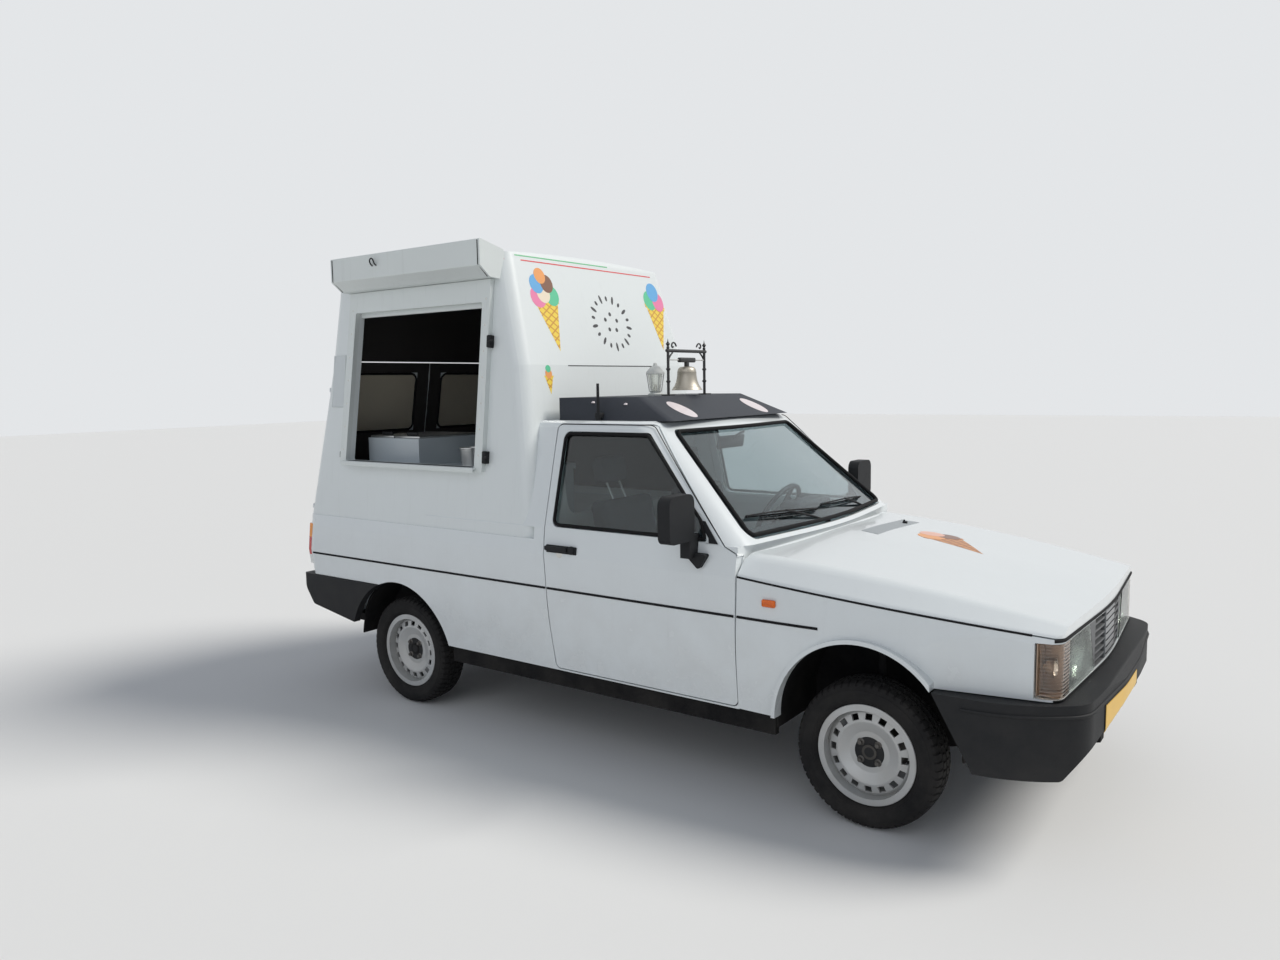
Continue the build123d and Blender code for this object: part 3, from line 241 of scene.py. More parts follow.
def rounded(rows, steps=5):
    """Corners (u, v, radius) of a closed outline as points, each corner an arc."""
    points = []
    for i, (u, v, radius) in enumerate(rows):
        corner = Vector((u, v))
        back = (Vector(rows[i - 1][:2]) - corner).normalized()
        ahead = (Vector(rows[(i + 1) % len(rows)][:2]) - corner).normalized()
        half = back.angle(ahead) / 2
        centre = corner + (back + ahead).normalized() * radius / math.sin(half)
        first = (corner + back * radius / math.tan(half) - centre).normalized()
        last = (corner + ahead * radius / math.tan(half) - centre).normalized()
        for k in range(steps + 1):
            points.append(tuple(centre + first.slerp(last, k / steps) * radius))
    return points


def tube(points, radius, closed=False, smooth=False, sides=2):
    """Round strip along points in space."""
    curve = bpy.data.curves.new("run", "CURVE")
    curve.dimensions = "3D"
    curve.bevel_depth = radius
    curve.bevel_resolution = sides
    curve.use_fill_caps = not closed
    spline = curve.splines.new("NURBS" if smooth else "POLY")
    spline.points.add(len(points) - 1)
    for point, place in zip(spline.points, points):
        point.co = (*place, 1)
    if smooth:
        spline.order_u = 3
        spline.use_endpoint_u = not closed
    spline.use_cyclic_u = closed
    holder = bpy.data.objects.new("run", curve)
    mesh = bpy.data.meshes.new_from_object(holder)
    bm = bmesh.new()
    bm.from_mesh(mesh)
    bmesh.ops.remove_doubles(bm, verts=bm.verts, dist=MERGE_GAP)
    bpy.data.objects.remove(holder)
    bpy.data.curves.remove(curve)
    bpy.data.meshes.remove(mesh)
    return bm


def piece(name, parts, body, stands_for=(), sharp=35):
    """One finished object from (bmesh, material) parts."""
    whole = bmesh.new()
    materials = []
    for bm, material in parts:
        if material not in materials:
            materials.append(material)
        bmesh.ops.recalc_face_normals(bm, faces=bm.faces)
        for face in bm.faces:
            face.material_index = materials.index(material)
            face.smooth = True
        scratch = bpy.data.meshes.new("part")
        bm.to_mesh(scratch)
        bm.free()
        whole.from_mesh(scratch)
        bpy.data.meshes.remove(scratch)
    mesh = bpy.data.meshes.new(name)
    whole.to_mesh(mesh)
    whole.free()
    mesh.set_sharp_from_angle(angle=math.radians(sharp))
    for material in materials:
        mesh.materials.append(material)
    obj = bpy.data.objects.new(name, mesh)
    bpy.context.scene.collection.objects.link(obj)
    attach(obj, body)
    if stands_for:
        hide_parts(*stands_for)
    return obj


def made_of(material, *meshes):
    return [(bm, material) for bm in meshes]


# Materials
def add_node(tree, kind, settings=(), inputs=()):
    """Node with its settings, and inputs that hold a value or take another node's output."""
    made = tree.nodes.new(kind)
    for key, value in dict(settings).items():
        setattr(made, key, value)
    for key, value in dict(inputs).items():
        if isinstance(value, bpy.types.NodeSocket):
            tree.links.new(value, made.inputs[key])
        else:
            made.inputs[key].default_value = value
    return made


def own_place(tree):
    return add_node(tree, "ShaderNodeTexCoord").outputs["Object"]


def maths(tree, operation, first, second, clamp=False):
    settings = {"operation": operation, "use_clamp": clamp}
    return add_node(tree, "ShaderNodeMath", settings, {0: first, 1: second}).outputs[0]


def noise(tree, place, scale, detail, roughness=0.5):
    inputs = {"Vector": place, "Scale": scale, "Detail": detail, "Roughness": roughness}
    return add_node(tree, "ShaderNodeTexNoise", inputs=inputs).outputs["Fac"]


def remap(tree, value, low, high, to_low=0.0, to_high=1.0):
    inputs = {"Value": value, "From Min": low, "From Max": high, "To Min": to_low, "To Max": to_high}
    return add_node(tree, "ShaderNodeMapRange", inputs=inputs).outputs["Result"]


def mixed(tree, share, first, second, blend="MIX"):
    settings = {"data_type": "RGBA", "blend_type": blend}
    mix = add_node(tree, "ShaderNodeMix", settings, {"Factor": share, "A": first, "B": second})
    return mix.outputs["Result"]


def wave(tree, place, direction, scale, distortion=0.0):
    inputs = {"Vector": place, "Scale": scale, "Distortion": distortion}
    return add_node(tree, "ShaderNodeTexWave", {"bands_direction": direction}, inputs).outputs["Fac"]


def add_bump(tree, height, strength, distance):
    made = add_node(tree, "ShaderNodeBump",
                    inputs={"Height": height, "Strength": strength, "Distance": distance})
    tree.links.new(made.outputs["Normal"], tree.nodes["Principled BSDF"].inputs["Normal"])


def new_group(name, inputs, outputs):
    """Shader group from inputs (label, value), a colour or a number, and outputs (label, kind)."""
    group = bpy.data.node_groups.new(name, "ShaderNodeTree")
    for label, value in inputs:
        kind = "NodeSocketFloat" if isinstance(value, float) else "NodeSocketColor"
        made = group.interface.new_socket(label, in_out="INPUT", socket_type=kind)
        made.default_value = value
    for label, kind in outputs:
        group.interface.new_socket(label, in_out="OUTPUT", socket_type=f"NodeSocket{kind}")
    return group, group.nodes.new("NodeGroupInput").outputs, group.nodes.new("NodeGroupOutput").inputs


def dust_group():
    """Dust that gathers low down and in patches."""
    group, ins, outs = new_group(
        "Road dust", [("Colour", (1, 1, 1, 1)), ("Dust", (0.4, 0.36, 0.3, 1)),
                      ("Amount", 0.3), ("Clean above", 1.2)],
        [("Colour", "Color"), ("Mask", "Float")])
    place = own_place(group)
    split = add_node(group, "ShaderNodeSeparateXYZ", inputs={0: place})
    fall = remap(group, split.outputs["Z"], 0.15, ins["Clean above"], 1.0, 0.06)
    patch = remap(group, noise(group, place, 5.0, 8.0, 0.65), 0.36, 0.7)
    mask = maths(group, "MULTIPLY", maths(group, "MULTIPLY", fall, patch), ins["Amount"], clamp=True)
    group.links.new(mixed(group, mask, ins["Colour"], ins["Dust"]), outs["Colour"])
    group.links.new(mask, outs["Mask"])
    return group


def wear_group():
    """Slow changes of tone and thin streaks that run down."""
    group, ins, outs = new_group(
        "Tone and streaks", [("Colour", (1, 1, 1, 1)), ("Tone", 0.1), ("Streaks", 0.1)],
        [("Colour", "Color"), ("Mask", "Float")])
    place = own_place(group)
    stretch = add_node(group, "ShaderNodeMapping", inputs={"Vector": place, "Scale": (38, 38, 1.3)})
    thin = remap(group, noise(group, stretch.outputs[0], 1.0, 4.0, 0.7), 0.56, 0.8)
    dark = maths(group, "MULTIPLY", thin, ins["Streaks"])
    tone = maths(group, "MULTIPLY", noise(group, place, 1.7, 5.0), ins["Tone"])
    mask = maths(group, "ADD", dark, tone, clamp=True)
    shade = mixed(group, mask, ins["Colour"], (0.42, 0.41, 0.38, 1), "MULTIPLY")
    group.links.new(shade, outs["Colour"])
    group.links.new(mask, outs["Mask"])
    return group


def grain_group():
    """Fine moulded grain or orange peel as a height."""
    group, ins, outs = new_group("Grain", [("Scale", 400.0), ("Cells", 0.5)], [("Height", "Float")])
    place = own_place(group)
    cells = add_node(group, "ShaderNodeTexVoronoi", inputs={"Vector": place, "Scale": ins["Scale"]})
    mix = add_node(group, "ShaderNodeMix", {"data_type": "FLOAT"},
                   {"Factor": ins["Cells"], "A": noise(group, place, ins["Scale"], 3.0),
                    "B": cells.outputs["Distance"]})
    group.links.new(mix.outputs["Result"], outs["Height"])
    return group


def weave_group():
    """Crossing threads as a height."""
    group, ins, outs = new_group("Weave", [("Scale", 300.0)], [("Height", "Float")])
    place = own_place(group)
    across, along = (wave(group, place, direction, ins["Scale"], 0.6) for direction in "XZ")
    group.links.new(maths(group, "MULTIPLY", across, along), outs["Height"])
    return group


def place_group(tree, name, maker, values):
    """A shared group in a material, which the first one to need it builds."""
    return add_node(tree, "ShaderNodeGroup", {"node_tree": bpy.data.node_groups.get(name) or maker()}, values)


def new_material(name, values):
    """Material with plain values on its shader."""
    material = bpy.data.materials.new(name)
    material.use_nodes = True
    shader = material.node_tree.nodes["Principled BSDF"]
    for key, value in values.items():
        shader.inputs[key].default_value = value
    return material, material.node_tree, shader


def finish(name, colour, rough=0.5, metal=0.0, coat=0.0, tone=0.08, streaks=0.0, dust=0.0, clean_above=1.2,
           grain=0.0, grain_scale=400.0, cells=0.5, shine=0.5, pattern=None):
    """Painted, moulded or metal surface with tone, streaks, dust and grain from the shared groups."""
    if name in finishes:
        return finishes[name]
    material, tree, shader = new_material(name, {
        "Metallic": metal, "Coat Weight": coat, "Specular IOR Level": shine, "Coat Roughness": 0.06})
    base = pattern(tree, colour) if pattern else (*colour, 1)
    last = place_group(tree, "Tone and streaks", wear_group,
                       {"Colour": base, "Tone": tone, "Streaks": streaks})
    if dust:
        values = {"Colour": last.outputs["Colour"], "Dust": (*bpy.context.scene.van_colours.dust, 1),
                  "Amount": dust, "Clean above": clean_above}
        last = place_group(tree, "Road dust", dust_group, values)
    tree.links.new(last.outputs["Colour"], shader.inputs["Base Color"])
    dull = remap(tree, last.outputs["Mask"], 0.0, 1.0, rough, min(rough + 0.35, 1.0))
    tree.links.new(dull, shader.inputs["Roughness"])
    if grain:
        height = place_group(tree, "Grain", grain_group, {"Scale": grain_scale, "Cells": cells})
        add_bump(tree, height.outputs["Height"], grain, 0.0006)
    finishes[name] = material
    return material


def clear(name, colour, rough=0.02, flutes=None):
    """Glass or a clear lens, with pressed flutes across one direction where wanted."""
    if name in finishes:
        return finishes[name]
    material, tree, shader = new_material(name, {
        "Transmission Weight": 1.0, "IOR": 1.5, "Base Color": (*colour, 1)})
    place = own_place(tree)
    film = remap(tree, noise(tree, place, 3.0, 5.0), 0.45, 0.8, rough, rough + 0.05)
    tree.links.new(film, shader.inputs["Roughness"])
    if flutes:
        add_bump(tree, wave(tree, place, flutes, 26.0), 0.55, 0.002)
    finishes[name] = material
    return material


def band_pattern(low, high, stops):
    """Colours one above the other, from stops (share, colour) between two heights."""

    def build(tree, colour):
        split = add_node(tree, "ShaderNodeSeparateXYZ", inputs={0: own_place(tree)})
        share = remap(tree, split.outputs["Z"], low, high)
        ramp = add_node(tree, "ShaderNodeValToRGB", inputs={"Fac": share})
        ramp.color_ramp.interpolation = "CONSTANT"
        while len(ramp.color_ramp.elements) < len(stops):
            ramp.color_ramp.elements.new(0.5)
        for element, (at, value) in zip(ramp.color_ramp.elements, stops):
            element.position = at
            element.color = (*value, 1)
        return ramp.outputs["Color"]

    return build


def waffle_pattern(dark, scale, axes):
    """Slanting lines of a wafer that cross in the plane of two axes."""

    def build(tree, colour):
        place = own_place(tree)
        lines = []
        for sign in (1, -1):
            weights = [0.0, 0.0, 0.0]
            weights["XYZ".index(axes[0])] = scale
            weights["XYZ".index(axes[1])] = scale * sign * 1.5
            flow = add_node(tree, "ShaderNodeVectorMath", {"operation": "DOT_PRODUCT"},
                            {0: place, 1: weights})
            fold = maths(tree, "PINGPONG", flow.outputs["Value"], 1.0)
            lines.append(maths(tree, "LESS_THAN", fold, 0.22))
        return mixed(tree, maths(tree, "MAXIMUM", *lines), (*colour, 1), (*dark, 1))

    return build


def paint():
    return finish("Body paint", bpy.context.scene.van_colours.paint, rough=0.24, coat=0.5, tone=0.05,
                  streaks=0.04, dust=0.30, clean_above=0.95, grain=0.12, grain_scale=260.0, cells=0.0)


def panel_paint():
    return finish("Box panel paint", bpy.context.scene.van_colours.panel, rough=0.34, coat=0.25, tone=0.07,
                  streaks=0.07, dust=0.10, clean_above=1.3, grain=0.16, grain_scale=120.0, cells=0.0)


def black_trim():
    return finish("Grained trim", bpy.context.scene.van_colours.trim, rough=0.58, tone=0.2, dust=0.05,
                  clean_above=1.1, grain=0.5, grain_scale=900.0, cells=0.8, shine=0.22)


def rubber():
    return finish("Rubber seal", (0.008, 0.008, 0.009), rough=0.72, tone=0.1, grain=0.2, grain_scale=700.0,
                  shine=0.15)


def bright_metal():
    return finish("Zinc", (0.62, 0.62, 0.60), rough=0.34, metal=1.0, tone=0.15, grain=0.15, grain_scale=500.0)


def aluminium():
    return finish("Shutter aluminium", (0.70, 0.74, 0.73), rough=0.42, metal=0.12, tone=0.12, streaks=0.15,
                  grain=0.15, grain_scale=160.0, cells=0.0)


def stand_paint():
    return finish("Stand paint", (0.02, 0.02, 0.022), rough=0.45, tone=0.2, grain=0.4, grain_scale=300.0)


# The solids that keep their shape, by material
def dress(nodes, material):
    for name in nodes:
        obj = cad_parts[name]
        obj.data.materials.clear()
        obj.data.materials.append(material)


class VAN_OT_solids(bpy.types.Operator):
    """Paint the solids of the body, box, chassis and cabin"""

    bl_idname = "van.solids"
    bl_label = "Paint the solids"

    def execute(self, context):
        colours = context.scene.van_colours
        dress(["cab_frame", "front_wings", "nose_panel", "lower_sides", "door_left", "door_right", "bonnet",
               "rear_frame", "rear_door_left", "rear_door_right"], paint())
        dress(["box_side_right", "box_side_left", "box_front", "box_roof"], panel_paint())
        dress(["front_bumper", "rear_bumper", "mirror_left", "mirror_right"], black_trim())
        dress(["grille"], finish("Grille slats", (0.11, 0.115, 0.12), rough=0.5, tone=0.2, dust=0.05,
                                 grain=0.3, grain_scale=900.0))
        dress(["roof_deflector"], finish("Deflector slate", colours.slate, rough=0.52, tone=0.25, streaks=0.2,
                                         grain=0.35, grain_scale=650.0, cells=0.8, shine=0.25))
        # both glass tints are darker than the glass's own, partly real tint and partly painted shade of the
        # dark inside seen through
        dress(["windscreen"], clear("Windscreen glass", (0.66, 0.77, 0.80)))
        dress(["door_glass_left", "door_glass_right"], clear("Door glass", (0.50, 0.56, 0.57)))
        dress(["shutter_frame", "shutter_housing"], aluminium())
        dress(["freezer_counter"],
              finish("Counter enamel", (0.50, 0.55, 0.58), rough=0.3, coat=0.3, tone=0.08, grain=0.1,
                     grain_scale=120.0, cells=0.0))
        dress(["floor_pan", "wheelhouses", "front_subframe", "rear_axle", "fuel_tank"],
              finish("Underseal", (0.008, 0.008, 0.009), rough=0.78, tone=0.3, dust=0.08, clean_above=0.8,
                     grain=0.7, grain_scale=160.0, cells=0.7, shine=0.12))
        dress(["engine", "knuckle_left", "knuckle_right"],
              finish("Cast iron", (0.07, 0.066, 0.062), rough=0.68, metal=0.6, tone=0.4, dust=0.15, grain=0.8,
                     grain_scale=260.0))
        dress(["exhaust"],
              finish("Exhaust steel", (0.24, 0.20, 0.17), rough=0.55, metal=0.8, tone=0.6, dust=0.3,
                     grain=0.5, grain_scale=120.0))
        dress(["dashboard"],
              finish("Dashboard moulding", (0.035, 0.037, 0.042), rough=0.6, tone=0.15, grain=0.5,
                     grain_scale=800.0, cells=0.9))
        dress(["steering_wheel"], finish("Wheel rim moulding", (0.03, 0.03, 0.033), rough=0.45, tone=0.15,
                                         grain=0.4, grain_scale=900.0))
        dress([f"rim_{end}_{side}" for end in ("front", "rear") for side in ("left", "right")],
              finish("Wheel paint", colours.rim, rough=0.38, metal=0.25, coat=0.15, tone=0.25, dust=0.45,
                     clean_above=1.0, grain=0.2, grain_scale=180.0))
        dress(["bell_stand"], stand_paint())
        bands = [(0.0, (0.75, 0.76, 0.74)), (0.22, (0.55, 0.02, 0.02)), (0.66, (0.85, 0.28, 0.02))]
        dress(["tail_lamps"], finish("Tail lens", (0.5, 0.02, 0.02), rough=0.12, coat=0.8, tone=0.1,
                                     pattern=band_pattern(0.70, 0.93, bands)))
        return {"FINISHED"}


class VAN_OT_tyres(bpy.types.Operator):
    """Build the four tyres with their tread, and the bolts and valves of the wheels"""

    bl_idname = "van.tyres"
    bl_label = "Tyres and wheel bolts"

    def tyre(self, sizes):
        half = [(0.178, 0.057), (0.199, 0.0595), (0.203, 0.068), (0.209, 0.0745), (0.212, 0.0748),
                (0.215, 0.0775), (0.231, 0.0812), (0.245, 0.0818), (0.252, 0.0806), (0.2535, 0.0790),
                (0.266, 0.0745), (0.2765, 0.0680), (0.2805, 0.0590), (0.2832, 0.0470), (0.2838, 0.0365),
                (0.2768, 0.0355), (0.2768, 0.0310), (0.2845, 0.0300), (0.2850, 0.0170), (0.2853, 0.0060),
                (0.2785, 0.0050)]
        rows = half + [(radius, -height) for radius, height in reversed(half)] + [half[0]]
        bm = spun(rows, steps=sizes.tread_steps)
        grooves = []
        for face in bm.faces:
            centre = face.calc_center_median()
            radius = math.hypot(centre.x, centre.y)
            step = round((math.degrees(math.atan2(centre.y, centre.x)) % 360) / 360 * sizes.tread_steps - 0.5)
            shoulder = radius > 0.270 and 0.0370 < abs(centre.z) < 0.0740
            inner = radius > 0.2835 and abs(centre.z) < 0.0300
            if (shoulder and step % 3 == 0) or (inner and (step + 1) % 3 == 0):
                grooves.append(face)
        bmesh.ops.inset_region(bm, faces=grooves, thickness=0.0024, depth=0.0, use_even_offset=True)
        for vert in {v for face in grooves for v in face.verts}:
            radius = math.hypot(vert.co.x, vert.co.y)
            share = (radius - sizes.tread * 0.8) / radius
            vert.co.x *= share
            vert.co.y *= share
        return bm

    def bolts(self):
        parts = []
        for i in range(4):
            turn = Matrix.Rotation(math.radians(45 + 90 * i), 4, "Z")
            seat = spun([(0, 0.024), (0.0125, 0.024), (0.0145, 0.027), (0.0105, 0.031), (0, 0.031)],
                        (0.049, 0, 0), steps=20)
            head = bmesh.new()
            bmesh.ops.create_cone(head, cap_ends=True, segments=6, radius1=0.0096, radius2=0.0088,
                                  depth=0.012)
            soften(head, 0.0008, 1)
            placed(head, (0.049, 0, 0.036))
            parts += [placed(bm, turn=turn) for bm in (seat, head)]
        return parts

    def execute(self, context):
        sizes = context.scene.van_sizes
        tread = finish("Tyre rubber", (0.010, 0.010, 0.011), rough=0.82, tone=0.3, dust=0.08, clean_above=0.9,
                       grain=0.4, grain_scale=300.0, shine=0.2)
        iron = finish("Wheel bolts", (0.10, 0.095, 0.09), rough=0.5, metal=0.6, tone=0.4, dust=0.2, grain=0.3,
                      grain_scale=400.0)
        for end, axle_x in AXLES:
            for side, label in SIDES:
                centre = (axle_x, side * WHEEL_Y, AXLE_Z)
                turn = OUTWARD[side]
                body = f"wheel_{end}_{label}"
                tyre = placed(self.tyre(sizes), centre, turn)
                piece(f"tread_{end}_{label}", [(tyre, tread)], body,
                      [f"tyre_{end}_{label}"], 24)
                parts = [(placed(bm, centre, turn), iron) for bm in self.bolts()]
                valve = rod((0.153, 0, 0.030), (0.160, 0, 0.052), 0.0045, 12, 0.0035)
                parts.append((placed(valve, centre, turn), rubber()))
                hub = spun([(0, 0.0305), (0.019, 0.0305), (0.022, 0.0270), (0.058, 0.0268), (0.059, 0.0260)],
                           centre, turn)
                parts.append((hub, black_trim()))
                piece(f"wheel_bolts_{end}_{label}", parts, body)
        return {"FINISHED"}


def glass_loop(node, rows, side, lift, step=0.05):
    """Points round a pane on its outer face, seen from a side of the van, or from the front for side 0."""
    flat = rounded(rows)
    points = []
    for i, (u, v) in enumerate(flat):
        after = flat[(i + 1) % len(flat)]
        count = max(1, int(math.dist((u, v), after) / step))
        for k in range(count):
            points.append((u + (after[0] - u) * k / count, v + (after[1] - v) * k / count))
    if side == 0:
        return [on_front(node, u, v) + Vector((lift, 0, 0)) for u, v in points]
    return [on_side(node, u, v, side) + Vector((0, side * lift, 0)) for u, v in points]


class VAN_OT_seals(bpy.types.Operator):
    """Lay the rubber round the windscreen, the door glass and the blank panes of the rear doors"""

    bl_idname = "van.seals"
    bl_label = "Window rubbers"

    def execute(self, context):
        sizes = context.scene.van_sizes
        screen = [(-0.673, 1.071, 0.020), (0.673, 1.071, 0.020), (0.527, 1.479, 0.035),
                  (-0.527, 1.479, 0.035)]
        loop = glass_loop("windscreen", screen, 0, 0.013)
        piece("windscreen_rubber", [(tube(loop, sizes.gasket, closed=True, sides=3), rubber())], "body")
        for side, label in SIDES:
            self.door_rubber(side, label, sizes.window_gasket)
        for side, label in SIDES:
            self.pane_rubber(side, label)
            self.door_seal(side, label)
        return {"FINISHED"}

    def door_rubber(self, side, label, radius):
        window = [(0.634, 1.059, 0.008), (0.600, 1.131, 0.02), (0.264, 1.468, 0.03), (-0.196, 1.468, 0.03),
                  (-0.182, 1.059, 0.03)]
        loop = glass_loop(f"door_glass_{label}", window, side, 0.0095)
        sail = slab([(0.697, 1.045), (0.640, 1.045), (0.600, 1.133), (0.622, 1.129)], 0.004, cuts=3)
        placed(sail, turn=Matrix(((1, 0, 0, 0), (0, 0, side, 0), (0, 1, 0, 0), (0, 0, 0, 1))))
        piece(f"door_rubber_{label}", [(tube(loop, radius, closed=True, sides=3), rubber()),
                                       (drape(sail, [f"door_{label}"], (0, -side, 0)), black_trim())],
              f"cab_door_{label}")

    def pane_rubber(self, side, label):
        pane = [(u, v, 0.045) for u, v in box_outline(0.100, 0.570, 1.435, 1.775)]
        parts = []
        for outward in (-1, 1):
            start = -4 if outward < 0 else 1
            loop = []
            for u, v in rounded([(side * u, v, radius) for u, v, radius in pane]):
                place = hit(f"rear_door_{label}", (start, u, v), (-outward, 0, 0))
                loop.append(place + Vector((outward * 0.003, 0, 0)))
            parts.append((tube(loop, 0.008, closed=True, sides=3), rubber()))
        piece(f"pane_rubber_{label}", parts, f"back_door_{label}")

    def door_seal(self, side, label):
        """Rubber in the gap round the rear, the top and the front post of a cab door."""
        edge = rounded([(0.785, 1.010, 0.012), (0.725, 1.036, 0.025), (0.272, 1.508, 0.05),
                        (-0.250, 1.508, 0.025), (-0.226, 0.920, 0.5), (-0.178, 0.392, 0.025)])
        run = []
        for i, (x, z) in enumerate(edge[:-1]):
            after = edge[i + 1]
            count = max(1, int(math.dist((x, z), after) / 0.04))
            ahead = (Vector(after) - Vector((x, z))).normalized()
            out = Vector((ahead.y, -ahead.x))
            for k in range(count):
                at = Vector((x, z)).lerp(Vector(after), k / count)
                inner = at - out * 0.012
                outer = at + out * 0.0025
                skin = seen(f"door_{label}", (inner.x, side * 3, inner.y), (0, -side, 0))
                if skin:
                    run.append(Vector((outer.x, skin.y - side * 0.009, outer.y)))
        piece(f"door_seal_{label}", [(tube(run, 0.0021), rubber())], "body")


class VAN_OT_side_trim(bpy.types.Operator):
    """Run the thin black strip along the sides, and add repeaters, door handles and dark tubes of painted shade
    in the bonnet's seams
    """

    bl_idname = "van.side_trim"
    bl_label = "Side trim"

    def handle(self, side, label):
        base = on_side(f"door_{label}", -0.122, 0.950, side)
        out = Vector((0, side, 0))
        bezel = cuboid((0.178, 0.010, 0.036), base + out * 0.002, 0.004)
        bar = cuboid((0.128, 0.014, 0.021), base + Vector((-0.020, side * 0.017, 0.004)), 0.005, segments=3)
        foot = cuboid((0.020, 0.022, 0.020), base + Vector((-0.078, side * 0.010, 0.004)), 0.004)
        cap = spun([(0, 0.012), (0.014, 0.012), (0.019, 0.007), (0.019, 0)],
                   base + Vector((0.062, side * 0.004, 0.002)), OUTWARD[side], 24)
        # the scoop under the handle is bright metal as a painted highlight
        scoop_highlight = spun([(0, 0.0035), (0.016, 0.0035), (0.019, 0.001)],
                     base + Vector((-0.012, side * 0.002, -0.022)), OUTWARD[side], 24)
        return made_of(black_trim(), bezel, bar, foot, cap) + made_of(bright_metal(), scoop_highlight)

    def execute(self, context):
        sizes = context.scene.van_sizes
        runs = (("lower_sides", "body", "rear", -1.985, -0.219),
                ("door_{}", "cab_door_{}", "door", -0.208, 0.780),
                ("front_wings", "body", "wing", 0.794, 1.141))
        amber = clear("Amber lens", (1.0, 0.50, 0.10), 0.12, flutes="X")
        bulb = finish("Amber bulb", (0.95, 0.33, 0.03), rough=0.4)
        for side, label in SIDES:
            inward = (0, -side, 0)
            for node, body, part, start, end in runs:
                count = max(2, int((end - start) / 0.06))
                along = [start + (end - start) * i / count for i in range(count + 1)]
                places = [seen(node.format(label), (x, side * 3, STRIP_Z), inward) for x in along]
                strip = tube([place for place in places if place], sizes.strip)
                piece(f"side_strip_{part}_{label}", [(strip, rubber())], body.format(label))
            place = on_side("front_wings", 0.937, 0.837, side)
            lens = cuboid((0.058, 0.016, 0.029), place + Vector((0, side * 0.005, 0)), 0.006, segments=3)
            glow = cuboid((0.053, 0.008, 0.024), place + Vector((0, side * 0.004, 0)), 0.003)
            piece(f"repeater_{label}", [(lens, amber), (glow, bulb)], "body")
            # the gap between bonnet and wing, which falls towards the nose, holds a dark tube as painted shade
            # of the gap
            seam = []
            for i in range(25):
                x = 0.792 + i * 0.0495
                z = 0.921 - (x - 0.820) * 0.0884
                wing = seen("front_wings", (x, side * 3, z - 0.007), inward)
                if wing:
                    seam.append(Vector((x, wing.y - side * 0.0015, z)))
            piece(f"bonnet_seam_shade_{label}", [(tube(seam, 0.0044), rubber())], "body")
            piece(f"door_handle_{label}", self.handle(side, label), f"cab_door_{label}")
        return {"FINISHED"}


